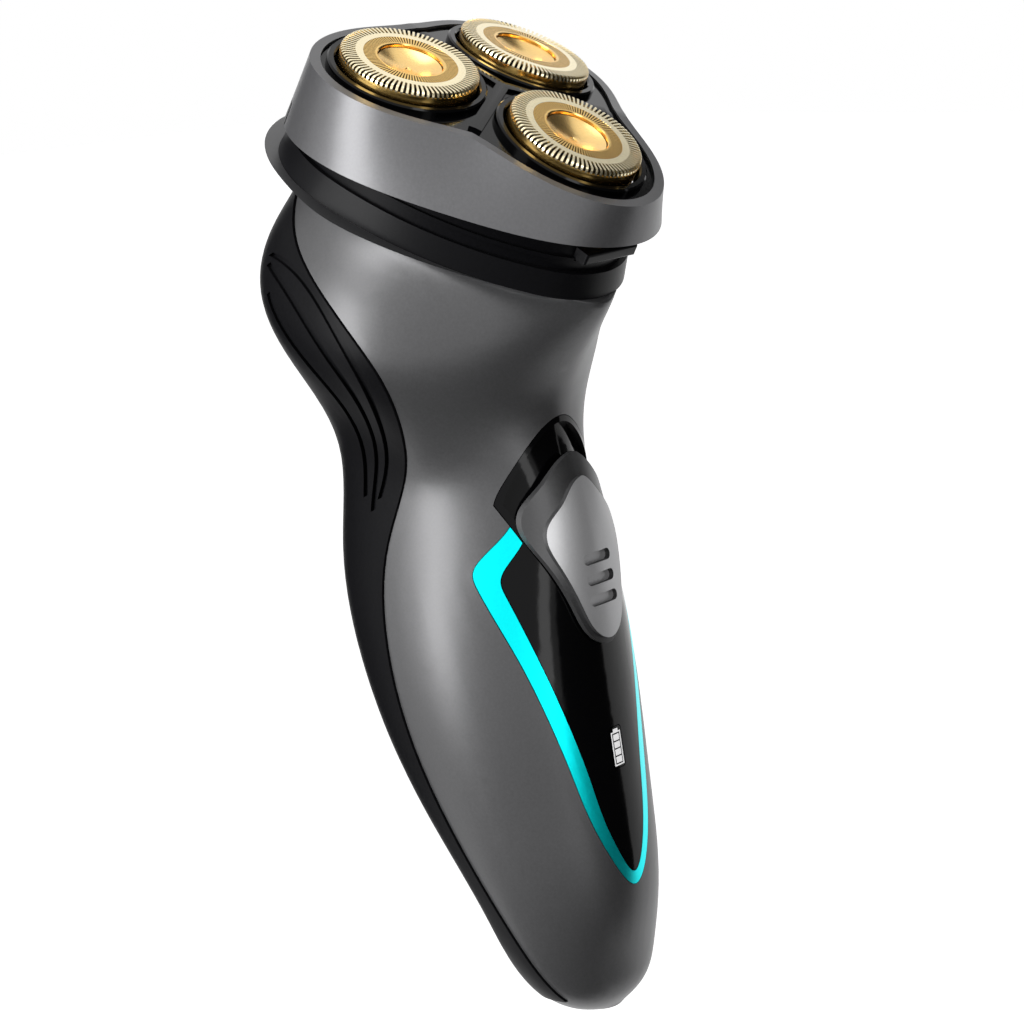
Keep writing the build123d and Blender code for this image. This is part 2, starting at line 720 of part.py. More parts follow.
# Charging socket: an open tube in the tip
with BuildPart() as charging_socket:
    with BuildSketch(JACK):
        Circle(JACK_R + JACK_WALL)
    extrude(amount=JACK_LENGTH)
    with BuildSketch(JACK):
        Circle(JACK_R)
    extrude(amount=JACK_LENGTH - JACK_FLOOR, mode=Mode.SUBTRACT)
write(charging_socket.part, "charging_socket")


# Collar: black stepped ring with the gear room under its top plate
def hinge_rod(radius, start, end):
    """Round bar on the hinge's axis between two places along X."""
    axis_point = HEAD.from_local_coords((start, HINGE_BACK, HINGE_DOWN))
    with BuildPart() as rod:
        with BuildSketch(Plane(origin=axis_point, x_dir=HEAD.y_dir, z_dir=HEAD.x_dir)):
            Circle(radius)
        extrude(amount=end - start)
    return rod.part


def inset_lobes(lobes, amount):
    """The same three-lobed outline, drawn in all round."""
    return tuple(size - amount for size in lobes)


BUTTON_BOTTOM = BUTTON_TOP - BUTTON_HIGH
BUTTON_BACK = BUTTON_FRONT - BUTTON_DEEP
SPRING_BACK = BUTTON_BACK - RELEASE_SPRING_LENGTH
LUG_START = KNUCKLE_HALF + CLEAR
LUG_END = LUG_START + LUG_WIDE
GEAR_ROOM = inset_lobes(COLLAR_LOWER, COLLAR_WALL)
BEAD_LOBES = inset_lobes(COLLAR_UPPER, -BEAD_PROUD)
with BuildPart() as hinge_housing:
    add(bezel_block(0))
    add(hinge_zone(0), mode=Mode.INTERSECT)

with BuildPart() as collar_spigot:
    add(handle_slice(WALL + SLIP, SHELL_TOP, SHELL_TOP - SPIGOT))
    add(handle_slice(WALL + SLIP + COLLAR_WALL, COLLAR_STEP, SHELL_TOP - 2 * SPIGOT), mode=Mode.SUBTRACT)

with BuildPart() as collar:
    add(lobed_block([(COLLAR_STEP, *COLLAR_UPPER), (COLLAR_TOP, *COLLAR_UPPER)]))
    add(lobed_block([(COLLAR_BEAD, *BEAD_LOBES), (COLLAR_BEAD + BEAD_HIGH, *BEAD_LOBES)]))
    add(lobed_block([(SHELL_TOP, *COLLAR_BASE), (COLLAR_STEP, *COLLAR_LOWER)]))
    add(hinge_housing.part)
    add(lobed_block([(SHELL_TOP, *GEAR_ROOM), (COLLAR_TOP - COLLAR_PLATE, *GEAR_ROOM)]), mode=Mode.SUBTRACT)
    for angle in CAP_ANGLES:
        with BuildSketch(spindle_plane(angle).offset(COLLAR_TOP - COLLAR_PLATE)):
            Circle(GEAR_HUB_R + CLEAR)
        extrude(amount=2 * COLLAR_PLATE, mode=Mode.SUBTRACT)
    with BuildSketch(HEAD.offset(GEAR_PLATE_TOP)):
        with PolarLocations(PLATE_SCREW_CIRCLE, len(CAP_ANGLES), start_angle=CAP_ANGLES[0] + LOBE_STEP):
            Circle(PLATE_POST_R)
    extrude(amount=COLLAR_TOP - COLLAR_PLATE - GEAR_PLATE_TOP)
    with BuildSketch(HEAD.offset(GEAR_PLATE_TOP)):
        with PolarLocations(PLATE_SCREW_CIRCLE, len(CAP_ANGLES), start_angle=CAP_ANGLES[0] + LOBE_STEP):
            Circle(SCREW_R + RUN_GAP)
    extrude(amount=PLATE_SCREW_LENGTH, mode=Mode.SUBTRACT)
    with BuildSketch(HEAD.offset(BUTTON_BOTTOM - SLIP)):
        with Locations((0, -(BUTTON_FRONT + BUTTON_BACK - BUTTON_TRAVEL) / 2)):
            Rectangle(2 * (BUTTON_HALF + SLIP), BUTTON_DEEP + BUTTON_TRAVEL + 2 * SLIP)
        with Locations((0, -(BUTTON_BACK + SPRING_BACK) / 2)):
            Rectangle(2 * (RELEASE_SPRING_R + SLIP), RELEASE_SPRING_LENGTH + 2 * SLIP)
    extrude(amount=FAR, mode=Mode.SUBTRACT)
    for side in (-1, 1):
        start = LUG_START if side > 0 else -LUG_END
        add(hinge_rod(KNUCKLE_R, start, start + LUG_WIDE))
        with BuildSketch(HEAD.offset(HINGE_DOWN - LUG_DROP)):
            with Locations((start + LUG_WIDE / 2, HINGE_BACK)):
                Rectangle(LUG_WIDE, 2 * KNUCKLE_R)
        extrude(amount=LUG_DROP)
    add(hinge_rod(KNUCKLE_R + CLEAR, -KNUCKLE_HALF - SLIP, KNUCKLE_HALF + SLIP), mode=Mode.SUBTRACT)
    add(hinge_rod(HINGE_PIN_R, -LUG_END, LUG_END), mode=Mode.SUBTRACT)
    add(collar_spigot.part)
write(collar.part, "collar")

# Hinge pin, a press fit in the collar's lugs and a running fit in the bezel
with BuildPart() as hinge_pin:
    add(hinge_rod(HINGE_PIN_R, -LUG_END, LUG_END))
write(hinge_pin.part, "hinge_pin")

# Gasket ring on the collar's top
with BuildPart() as collar_gasket:
    gasket_top = COLLAR_TOP + GASKET_HIGH
    outer_ring = inset_lobes(COLLAR_UPPER, GASKET_INSET)
    inner_ring = inset_lobes(COLLAR_UPPER, GASKET_INSET + GASKET_WIDE)
    add(lobed_block([(COLLAR_TOP, *outer_ring), (gasket_top, *outer_ring)]))
    add(lobed_block([(COLLAR_TOP, *inner_ring), (gasket_top, *inner_ring)]), mode=Mode.SUBTRACT)
    with BuildSketch(HEAD.offset(COLLAR_TOP)):
        with Locations((0, -BUTTON_FRONT)):
            Rectangle(2 * (BUTTON_HALF + CLEAR), 2 * BUTTON_DEEP)
    extrude(amount=FAR, mode=Mode.SUBTRACT)
write(collar_gasket.part, "collar_gasket")

# Release button in the collar's front notch, with its nose up inside the bezel
with BuildPart() as release_button:
    with BuildSketch(HEAD.offset(BUTTON_BOTTOM)):
        with Locations((0, -(BUTTON_FRONT + BUTTON_BACK) / 2)):
            Rectangle(2 * BUTTON_HALF, BUTTON_DEEP)
    extrude(amount=BUTTON_HIGH)
    with BuildSketch(HEAD.offset(BUTTON_TOP)):
        with Locations((0, -BUTTON_BACK - NOSE_DEEP / 2)):
            Rectangle(2 * NOSE_HALF, NOSE_DEEP)
    extrude(amount=NOSE_HIGH)
    front_edges = release_button.faces().sort_by(HEAD_BACK)[0].edges()
    fillet(front_edges, BUTTON_HIGH / 4)
write(release_button.part, "release_button")

with BuildPart() as release_spring:
    spring_end = HEAD.from_local_coords((0, -BUTTON_BACK, (BUTTON_TOP + BUTTON_BOTTOM) / 2))
    with BuildSketch(Plane(origin=spring_end, x_dir=HEAD.x_dir, z_dir=HEAD.y_dir)):
        Circle(RELEASE_SPRING_R)
        Circle(RELEASE_SPRING_R / 2, mode=Mode.SUBTRACT)
    extrude(amount=RELEASE_SPRING_LENGTH)
write(release_spring.part, "release_spring")

# Gear plate, its axles and its screws
with BuildPart() as gear_plate:
    add(handle_slice(WALL + SLIP + COLLAR_WALL + SLIP, GEAR_PLATE_TOP, MOTOR_TOP))
    with BuildSketch(HEAD.offset(MOTOR_TOP)):
        Circle(MOTOR_BOSS_R + SLIP)
        with PolarLocations(MOTOR_SCREW_CIRCLE, 2):
            Circle(SCREW_R + SLIP)
        with PolarLocations(PLATE_SCREW_CIRCLE, len(CAP_ANGLES), start_angle=CAP_ANGLES[0] + LOBE_STEP):
            Circle(SCREW_R + SLIP)
        with PolarLocations(GEAR_CENTRES, len(CAP_ANGLES), start_angle=CAP_ANGLES[0]):
            Circle(AXLE_R)
    extrude(amount=GEAR_PLATE_THICK, mode=Mode.SUBTRACT)
write(gear_plate.part, "gear_plate")

with BuildPart() as gear_axles:
    with BuildSketch(HEAD.offset(MOTOR_TOP)):
        with PolarLocations(GEAR_CENTRES, len(CAP_ANGLES), start_angle=CAP_ANGLES[0]):
            Circle(AXLE_R)
    extrude(amount=AXLE_TOP - MOTOR_TOP)
write(gear_axles.part, "gear_axles")

with BuildPart() as plate_screws:
    with BuildSketch(HEAD.offset(MOTOR_TOP - SCREW_HEAD_HIGH)):
        with PolarLocations(PLATE_SCREW_CIRCLE, len(CAP_ANGLES), start_angle=CAP_ANGLES[0] + LOBE_STEP):
            Circle(SCREW_HEAD_R)
    extrude(amount=SCREW_HEAD_HIGH)
    with BuildSketch(HEAD.offset(MOTOR_TOP)):
        with PolarLocations(PLATE_SCREW_CIRCLE, len(CAP_ANGLES), start_angle=CAP_ANGLES[0] + LOBE_STEP):
            Circle(SCREW_R)
    extrude(amount=GEAR_PLATE_THICK + PLATE_SCREW_LENGTH - SLIP)
write(plate_screws.part, "plate_screws")


# Toothed wheels
def toothed_outline(teeth, first_tooth):
    """Closed outline of a wheel whose first tooth points at an angle in degrees."""
    pitch_r = GEAR_MODULE * teeth / 2
    tip_r = pitch_r + TOOTH_ADDENDUM * GEAR_MODULE
    root_r = pitch_r - TOOTH_DEDENDUM * GEAR_MODULE
    step = 360 / teeth
    points = []
    for tooth in range(teeth):
        middle = first_tooth + tooth * step
        points.append(polar(root_r, middle - step * TOOTH_SHARE))
        points.append(polar(tip_r, middle - step * TOOTH_SHARE / 3))
        points.append(polar(tip_r, middle + step * TOOTH_SHARE / 3))
        points.append(polar(root_r, middle + step * TOOTH_SHARE))
    Polyline(*points, close=True)


# Pinion and motor on the head's axis
with BuildPart() as pinion:
    with BuildSketch(HEAD.offset(GEAR_BOTTOM)):
        with BuildLine():
            toothed_outline(PINION_TEETH, CAP_ANGLES[0])
        make_face()
        Circle(MOTOR_SHAFT_R, mode=Mode.SUBTRACT)
    extrude(amount=GEAR_THICK)
write(pinion.part, "pinion")

with BuildPart() as motor_shaft:
    with BuildSketch(HEAD.offset(MOTOR_BOTTOM - MOTOR_END)):
        Circle(MOTOR_SHAFT_R)
    extrude(amount=GEAR_TOP - MOTOR_BOTTOM + MOTOR_END)
write(motor_shaft.part, "motor_shaft")


def motor_section(radius):
    """Round motor section with flats at the front and back."""
    Circle(radius)
    Rectangle(2 * radius, MOTOR_ACROSS, mode=Mode.INTERSECT)


with BuildPart() as motor_can:
    with BuildSketch(HEAD.offset(MOTOR_BOTTOM)):
        motor_section(MOTOR_R)
    extrude(amount=MOTOR_LENGTH)
    chamfer(motor_can.faces().sort_by(HEAD_UP)[-1].edges(), MOTOR_EDGE)
    with BuildSketch(HEAD.offset(MOTOR_TOP)):
        Circle(MOTOR_BOSS_R)
    extrude(amount=MOTOR_BOSS_HIGH)
    with BuildSketch(HEAD.offset(MOTOR_BOTTOM)):
        Circle(MOTOR_SHAFT_R + RUN_GAP)
    extrude(amount=MOTOR_LENGTH + MOTOR_BOSS_HIGH, mode=Mode.SUBTRACT)
    with BuildSketch(HEAD.offset(MOTOR_TOP)):
        with PolarLocations(MOTOR_SCREW_CIRCLE, 2):
            Circle(SCREW_R + RUN_GAP)
    extrude(amount=-MOTOR_SCREW_DEPTH, mode=Mode.SUBTRACT)
write(motor_can.part, "motor_can")

with BuildPart() as motor_end_cap:
    with BuildSketch(HEAD.offset(MOTOR_BOTTOM - MOTOR_END)):
        motor_section(MOTOR_R - BEZEL_WALL)
    extrude(amount=MOTOR_END)
    with BuildSketch(HEAD.offset(MOTOR_BOTTOM - MOTOR_END)):
        Circle(MOTOR_SHAFT_R + RUN_GAP)
    extrude(amount=MOTOR_END, mode=Mode.SUBTRACT)
write(motor_end_cap.part, "motor_end_cap")

with BuildPart() as motor_screws:
    with BuildSketch(HEAD.offset(GEAR_PLATE_TOP)):
        with PolarLocations(MOTOR_SCREW_CIRCLE, 2):
            Circle(SCREW_R)
    extrude(amount=-GEAR_PLATE_THICK - MOTOR_SCREW_DEPTH + SLIP)
write(motor_screws.part, "motor_screws")

# Shaft seals on the collar round the gear hubs
with BuildPart() as shaft_seals:
    for angle in CAP_ANGLES:
        with BuildSketch(spindle_plane(angle).offset(COLLAR_TOP)):
            Circle(GEAR_HUB_R + SLIP + SEAL_WIDTH)
            Circle(GEAR_HUB_R + SLIP, mode=Mode.SUBTRACT)
        extrude(amount=SEAL_HEIGHT)
write(shaft_seals.part, "shaft_seals")

# One gear, spindle and spring under each cap
HEX_TO_RADIUS = 1 / (2 * cos(radians(30)))
PINION_STEP = 360 / PINION_TEETH
for number, angle in enumerate(CAP_ANGLES, start=1):
    spindle_at = spindle_plane(angle)
    ahead = (CAP_ANGLES[0] - angle) % PINION_STEP
    gap_turn = -ahead * PINION_TEETH / GEAR_TEETH
    with BuildPart() as drive_gear:
        with BuildSketch(spindle_at.offset(GEAR_BOTTOM)):
            with BuildLine():
                toothed_outline(GEAR_TEETH, 180 + gap_turn + 180 / GEAR_TEETH)
            make_face()
        extrude(amount=GEAR_THICK)
        with BuildSketch(spindle_at.offset(GEAR_TOP)):
            Circle(GEAR_HUB_R)
        extrude(amount=GEAR_HUB_TOP - GEAR_TOP)
        with BuildSketch(spindle_at.offset(GEAR_BOTTOM + GEAR_FLOOR)):
            RegularPolygon((STEM_ACROSS + 2 * RUN_GAP) * HEX_TO_RADIUS, 6)
        extrude(amount=FAR, mode=Mode.SUBTRACT)
        with BuildSketch(spindle_at.offset(GEAR_BOTTOM)):
            Circle(AXLE_R + RUN_GAP)
        extrude(amount=GEAR_THICK, mode=Mode.SUBTRACT)
    write(drive_gear.part, f"drive_gear_{number}")

    with BuildPart() as spindle:
        with BuildSketch(spindle_at.offset(STEM_BOTTOM)):
            RegularPolygon(STEM_ACROSS * HEX_TO_RADIUS, 6)
        extrude(amount=STEM_LENGTH)
        with BuildSketch(spindle_at.offset(STEM_TOP)):
            Rectangle(DOG_BASE, DOG_BASE)
        with BuildSketch(spindle_at.offset(DOG_TOP)):
            Rectangle(DOG_TIP, DOG_TIP)
        loft()
        with BuildSketch(spindle_at.offset(STEM_BOTTOM)):
            Circle(AXLE_R + SLIP)
        extrude(amount=AXLE_TOP - STEM_BOTTOM + CAP_FLOAT + CLEAR, mode=Mode.SUBTRACT)
    write(spindle.part, f"spindle_{number}")

    with BuildPart() as spindle_spring:
        with BuildSketch(spindle_at.offset(GEAR_BOTTOM + GEAR_FLOOR)):
            Circle(AXLE_R + SLIP + SPRING_WALL)
            Circle(AXLE_R + SLIP, mode=Mode.SUBTRACT)
        extrude(amount=STEM_BOTTOM - GEAR_BOTTOM - GEAR_FLOOR)
    write(spindle_spring.part, f"spindle_spring_{number}")


# Bezel: the ring that turns from a near circle at its foot into three lobes at its rim
BEZEL_BORE = bezel_block(BEZEL_WALL)
with BuildPart() as head_bezel:
    add(roofed(bezel_block(0), BEZEL_RIM))
    add(BEZEL_BORE, mode=Mode.SUBTRACT)
    add(hinge_zone(CLEAR), mode=Mode.SUBTRACT)
    add(hinge_rod(KNUCKLE_R + CLEAR, -LUG_END - CLEAR, LUG_END + CLEAR), mode=Mode.SUBTRACT)
    add(hinge_rod(KNUCKLE_R, -KNUCKLE_HALF, KNUCKLE_HALF))
    with BuildSketch(HEAD.offset(HINGE_DOWN)):
        with Locations((0, HINGE_BACK - KNUCKLE_REACH / 2)):
            Rectangle(2 * KNUCKLE_HALF, KNUCKLE_REACH)
    extrude(amount=2 * KNUCKLE_R)
    add(hinge_rod(HINGE_PIN_R + RUN_GAP, -LUG_END, LUG_END), mode=Mode.SUBTRACT)
write(head_bezel.part, "head_bezel")

# Head plate: thin black roof that holds the caps, with a boss for the retaining frame
with BuildPart() as head_plate:
    plate_block = bezel_block(BEZEL_WALL + SEAM)
    add(roofed(plate_block, PLATE_DROP))
    add(roofed(plate_block, PLATE_DROP + PLATE_THICK), mode=Mode.SUBTRACT)
    for angle in CAP_ANGLES:
        with BuildSketch(HEAD.offset(FRAME_TOP)):
            with Locations(polar(STRIP_LENGTH / 2, angle + LOBE_STEP)):
                Rectangle(STRIP_LENGTH, STRIP_WIDE, rotation=angle + LOBE_STEP)
        extrude(amount=-FRAME_TOP)
    add(roofed(plate_block, PLATE_DROP - STRIP_HIGH), mode=Mode.INTERSECT)
    with BuildSketch(HEAD.offset(FRAME_TOP)):
        Circle(BOSS_R)
    extrude(amount=-FRAME_TOP - PLATE_DROP)
    with BuildSketch(HEAD.offset(FRAME_TOP)):
        Circle(LOCK_STEM_R + RUN_GAP)
    extrude(amount=LOCK_STEM, mode=Mode.SUBTRACT)
    for angle in CAP_ANGLES:
        with BuildSketch(cap_plane(angle, 2 * CAP_PIVOT)):
            Circle(CAP_R + CLEAR)
        extrude(amount=4 * CAP_PIVOT, mode=Mode.SUBTRACT)
write(head_plate.part, "head_plate")

# Retaining frame under the cutters: three rings on arms, held by the lock wheel
with BuildPart() as cutter_frame:
    with BuildSketch(HEAD.offset(FRAME_TOP)):
        Circle(BOSS_R + CLEAR)
        for angle in CAP_ANGLES:
            with Locations(polar(GEAR_CENTRES / 2, angle)):
                Rectangle(GEAR_CENTRES, FRAME_ARM, rotation=angle)
        with PolarLocations(GEAR_CENTRES, len(CAP_ANGLES), start_angle=CAP_ANGLES[0]):
            Circle(FRAME_RING_R)
        with PolarLocations(GEAR_CENTRES, len(CAP_ANGLES), start_angle=CAP_ANGLES[0]):
            Circle(CUTTER_HUB_R + 2 * SOCKET_ROOM, mode=Mode.SUBTRACT)
        Circle(LOCK_STEM_R + RUN_GAP, mode=Mode.SUBTRACT)
    extrude(amount=-FRAME_THICK)
write(cutter_frame.part, "cutter_frame")

# Lock wheel: a scalloped knob with a stem up into the plate's boss
with BuildPart() as lock_wheel:
    with BuildSketch(HEAD.offset(FRAME_TOP - FRAME_THICK - SEAM)):
        Circle(LOCK_R)
        with PolarLocations(LOCK_R, LOCK_GRIPS):
            Circle(LOCK_R / LOCK_GRIPS, mode=Mode.SUBTRACT)
    extrude(amount=-LOCK_HEIGHT)
    with BuildSketch(HEAD.offset(FRAME_TOP - FRAME_THICK - SEAM)):
        Circle(LOCK_STEM_R)
    extrude(amount=FRAME_THICK + SEAM + LOCK_STEM - SLIP)
    with BuildSketch(HEAD.offset(FRAME_TOP - FRAME_THICK - SEAM - LOCK_HEIGHT)):
        Rectangle(LOCK_SLOT, LOCK_STEM_R)
    extrude(amount=LOCK_HEIGHT / 2, mode=Mode.SUBTRACT)
write(lock_wheel.part, "lock_wheel")

# Seat ring, cap, dish and cutter at each of the three places
SKIRT_BOTTOM = PLATE_DROP + PLATE_THICK + CLEAR
DISH_BOTTOM = DISH_DEPTH + DISH_THICK
BLADE_TOP = CAP_TOP_THICK + CLEAR
CUTTER_DISC_TOP = BLADE_TOP + BLADE_HEIGHT
for number, angle in enumerate(CAP_ANGLES, start=1):
    with BuildPart() as seat_ring:
        with BuildSketch(cap_plane(angle, PLATE_DROP)):
            Circle(CAP_R + CLEAR + SEAT_WIDTH)
            Circle(CAP_R + CLEAR, mode=Mode.SUBTRACT)
        extrude(amount=SEAT_HEIGHT)
        cap_up = Axis(HEAD.origin, cap_plane(angle).z_dir)
        top_edges = seat_ring.edges().filter_by(GeomType.CIRCLE).group_by(cap_up)[-1]
        chamfer(top_edges, SEAT_HEIGHT / 4)
    write(seat_ring.part, f"seat_ring_{number}")

    with BuildPart() as foil_cap:
        with BuildSketch(cap_plane(angle, SKIRT_BOTTOM)):
            Circle(CAP_R)
        extrude(amount=SKIRT_BOTTOM)
        fillet(foil_cap.edges().filter_by(GeomType.CIRCLE).sort_by(HEAD_UP)[-1], CAP_EDGE_R)
        with BuildSketch(cap_plane(angle, SKIRT_BOTTOM + CAP_FLANGE_THICK)):
            Circle(CAP_FLANGE_R)
        extrude(amount=CAP_FLANGE_THICK)
        with BuildSketch(cap_plane(angle, SKIRT_BOTTOM + CAP_FLANGE_THICK)):
            Circle(CAP_R - CAP_SKIRT)
        extrude(amount=SKIRT_BOTTOM + CAP_FLANGE_THICK - CAP_TOP_THICK, mode=Mode.SUBTRACT)
        with BuildSketch(cap_plane(angle, DISH_BOTTOM)):
            Circle(CAP_TRACK_IN_R + DISH_THICK)
        extrude(amount=DISH_BOTTOM)
        with BuildSketch(cap_plane(angle, DISH_BOTTOM)):
            Circle(CAP_TRACK_IN_R)
        extrude(amount=2 * DISH_BOTTOM, mode=Mode.SUBTRACT)
    write(foil_cap.part, f"foil_cap_{number}")

    with BuildPart() as cap_dish:
        with BuildSketch(cap_plane(angle, DISH_BOTTOM)):
            Circle(CAP_TRACK_IN_R - SEAM / 2)
        extrude(amount=DISH_THICK)
        with BuildSketch(cap_plane(angle, DISH_DEPTH)):
            Circle(CAP_TRACK_IN_R - SEAM / 2)
            Circle(DISH_R - DISH_THICK, mode=Mode.SUBTRACT)
        extrude(amount=DISH_DEPTH / 2)
    write(cap_dish.part, f"cap_dish_{number}")

    with BuildPart() as cutter:
        disc_bottom = max(CUTTER_DISC_TOP, DISH_BOTTOM + CLEAR) + CUTTER_DISC
        with BuildSketch(cap_plane(angle, disc_bottom)):
            Circle(CUTTER_R)
        extrude(amount=CUTTER_DISC)
        with BuildSketch(cap_plane(angle, disc_bottom - CUTTER_DISC)):
            with PolarLocations((CUTTER_R + CUTTER_IN_R + CLEAR) / 2, BLADE_COUNT):
                Rectangle(CUTTER_R - CUTTER_IN_R - CLEAR, BLADE_WIDE)
        extrude(amount=disc_bottom - CUTTER_DISC - BLADE_TOP)
        with BuildSketch(cap_plane(angle, CUTTER_BOTTOM)):
            Circle(CUTTER_HUB_R)
        extrude(amount=CUTTER_BOTTOM - disc_bottom)
        with BuildSketch(cap_plane(angle, CUTTER_BOTTOM)):
            Rectangle(DOG_BASE + 2 * SOCKET_ROOM, DOG_BASE + 2 * SOCKET_ROOM)
        with BuildSketch(cap_plane(angle, -DOG_TOP - CLEAR)):
            Rectangle(DOG_TIP + 2 * SOCKET_ROOM, DOG_TIP + 2 * SOCKET_ROOM)
        loft(mode=Mode.SUBTRACT)
    write(cutter.part, f"cutter_{number}")
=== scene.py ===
# %% [markdown]
# An electric shaver with three round cutters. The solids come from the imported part; this lesson gives
# them their finishes, cuts the fine slots of the three caps with Geometry Nodes, and sets up the studio.

import json
from math import cos, pi, radians, sin

import bmesh
import bpy
from mathutils import Matrix, Vector
from mathutils.bvhtree import BVHTree


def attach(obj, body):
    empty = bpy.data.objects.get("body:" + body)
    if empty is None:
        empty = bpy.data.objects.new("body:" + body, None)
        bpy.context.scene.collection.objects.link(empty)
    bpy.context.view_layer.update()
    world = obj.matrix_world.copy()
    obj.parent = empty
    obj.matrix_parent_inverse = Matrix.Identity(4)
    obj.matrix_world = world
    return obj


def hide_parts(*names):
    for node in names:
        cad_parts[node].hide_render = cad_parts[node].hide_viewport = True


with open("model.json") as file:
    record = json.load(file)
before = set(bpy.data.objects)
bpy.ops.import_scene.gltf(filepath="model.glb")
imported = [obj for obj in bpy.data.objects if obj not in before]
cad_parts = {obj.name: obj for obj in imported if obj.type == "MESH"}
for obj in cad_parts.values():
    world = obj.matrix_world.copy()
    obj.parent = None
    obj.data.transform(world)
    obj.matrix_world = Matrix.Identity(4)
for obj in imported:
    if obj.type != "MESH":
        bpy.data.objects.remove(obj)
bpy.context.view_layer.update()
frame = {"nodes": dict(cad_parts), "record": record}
scene = bpy.context.scene
MM = 0.001

# %% [markdown]
# Moulded plastic and paint are never one flat value: a very fine grain breaks up the colour, the gloss
# and the surface. It could be a picture, but noise needs no unwrapping and never repeats. Every finish
# uses it, so it is made once as a node group and gets its own values each time.


# %% Fine grain, shared by the plastics and paints
def group_with(name, inputs, outputs):
    tree = bpy.data.node_groups.new(name, "ShaderNodeTree")
    for socket, kind in inputs:
        tree.interface.new_socket(socket, in_out="INPUT", socket_type=kind)
    for socket, kind in outputs:
        tree.interface.new_socket(socket, in_out="OUTPUT", socket_type=kind)
    return tree, tree.nodes.new("NodeGroupInput"), tree.nodes.new("NodeGroupOutput")


FLOAT, COLOR, VECTOR = "NodeSocketFloat", "NodeSocketColor", "NodeSocketVector"
MIX_FACTOR, MIX_FIRST, MIX_SECOND, MIX_RESULT = 0, 6, 7, 2
GRAIN_DETAIL = 3.0
GRAIN_HEIGHT = 0.00002
grain, given, put = group_with(
    "Fine grain",
    [("Colour", COLOR), ("Fleck", COLOR), ("Scale", FLOAT), ("Gloss low", FLOAT), ("Gloss high", FLOAT),
     ("Depth", FLOAT)],
    [("Colour", COLOR), ("Roughness", FLOAT), ("Normal", VECTOR)],
)
place = grain.nodes.new("ShaderNodeTexCoord")
speck = grain.nodes.new("ShaderNodeTexNoise")
speck.inputs["Detail"].default_value = GRAIN_DETAIL
grain.links.new(place.outputs["Object"], speck.inputs["Vector"])
grain.links.new(given.outputs["Scale"], speck.inputs["Scale"])
tint = grain.nodes.new("ShaderNodeMix")
tint.data_type = "RGBA"
grain.links.new(speck.outputs["Fac"], tint.inputs[MIX_FACTOR])
grain.links.new(given.outputs["Colour"], tint.inputs[MIX_FIRST])
grain.links.new(given.outputs["Fleck"], tint.inputs[MIX_SECOND])
gloss = grain.nodes.new("ShaderNodeMapRange")
grain.links.new(speck.outputs["Fac"], gloss.inputs["Value"])
grain.links.new(given.outputs["Gloss low"], gloss.inputs["To Min"])
grain.links.new(given.outputs["Gloss high"], gloss.inputs["To Max"])
bump = grain.nodes.new("ShaderNodeBump")
bump.inputs["Distance"].default_value = GRAIN_HEIGHT
grain.links.new(speck.outputs["Fac"], bump.inputs["Height"])
grain.links.new(given.outputs["Depth"], bump.inputs["Strength"])
grain.links.new(tint.outputs[MIX_RESULT], put.inputs["Colour"])
grain.links.new(gloss.outputs["Result"], put.inputs["Roughness"])
grain.links.new(bump.outputs["Normal"], put.inputs["Normal"])
print("group:", grain.name, len(grain.nodes), "nodes")


# %% [markdown]
# Paint, plastic and plated metal differ in tone, gloss and metalness. Each could be a node tree of its
# own, but one function that feeds a Principled shader from the fine grain keeps them alike. Metalness and
# specular level are the same all over a piece, so they are set on the shader itself, where the export
# keeps them.


# %% A finish on the fine grain
def finish(name, colour, fleck, gloss, scale=2500.0, depth=0.1, metal=0.0, specular=0.5):
    """One material: colour and fleck are its two tones, gloss its lowest and highest roughness."""
    material = bpy.data.materials.new(name)
    material.use_nodes = True
    nodes, links = material.node_tree.nodes, material.node_tree.links
    shader = nodes["Principled BSDF"]
    shader.inputs["Metallic"].default_value = metal
    shader.inputs["Specular IOR Level"].default_value = specular
    use = nodes.new("ShaderNodeGroup")
    use.node_tree = grain
    use.inputs["Colour"].default_value = (*colour, 1)
    use.inputs["Fleck"].default_value = (*fleck, 1)
    use.inputs["Scale"].default_value = scale
    use.inputs["Gloss low"].default_value = gloss[0]
    use.inputs["Gloss high"].default_value = gloss[1]
    use.inputs["Depth"].default_value = depth
    links.new(use.outputs["Colour"], shader.inputs["Base Color"])
    links.new(use.outputs["Roughness"], shader.inputs["Roughness"])
    links.new(use.outputs["Normal"], shader.inputs["Normal"])
    return material


# %% [markdown]
# The handle is painted in satin gunmetal and has a black cover, the trim is a teal metallic, and the caps
# have a gold-coloured plating. Each could start from a ready-made material, but tones only match when they
# are judged under the studio's own lamps, so all are set here. Blacks get a low specular level,
# because the bright surround would turn them grey. The battery sign is lit from behind, so its print glows.

# %% The finishes of this shaver
gunmetal = finish("gunmetal_paint", (0.07, 0.07, 0.072), (0.092, 0.092, 0.095), (0.34, 0.42), metal=0.45)
bezel_grey = finish("bezel_paint", (0.10, 0.10, 0.104), (0.13, 0.13, 0.135), (0.32, 0.4), metal=0.45)
cover_black = finish(
    "cover_black", (0.003, 0.003, 0.0035), (0.006, 0.006, 0.007), (0.36, 0.46), specular=0.07
)
collar_black = finish(
    "collar_black", (0.003, 0.003, 0.0035), (0.005, 0.005, 0.006), (0.3, 0.4), specular=0.09
)
panel_black = finish(
    "panel_black", (0.001, 0.001, 0.0012), (0.002, 0.002, 0.0024), (0.08, 0.12), specular=0.16
)
teal = finish("teal_metallic", (0.0, 0.86, 0.9), (0.0, 0.92, 0.96), (0.26, 0.32), metal=0.9)
silver = finish("switch_silver", (0.52, 0.52, 0.53), (0.58, 0.58, 0.59), (0.34, 0.42), metal=0.5)
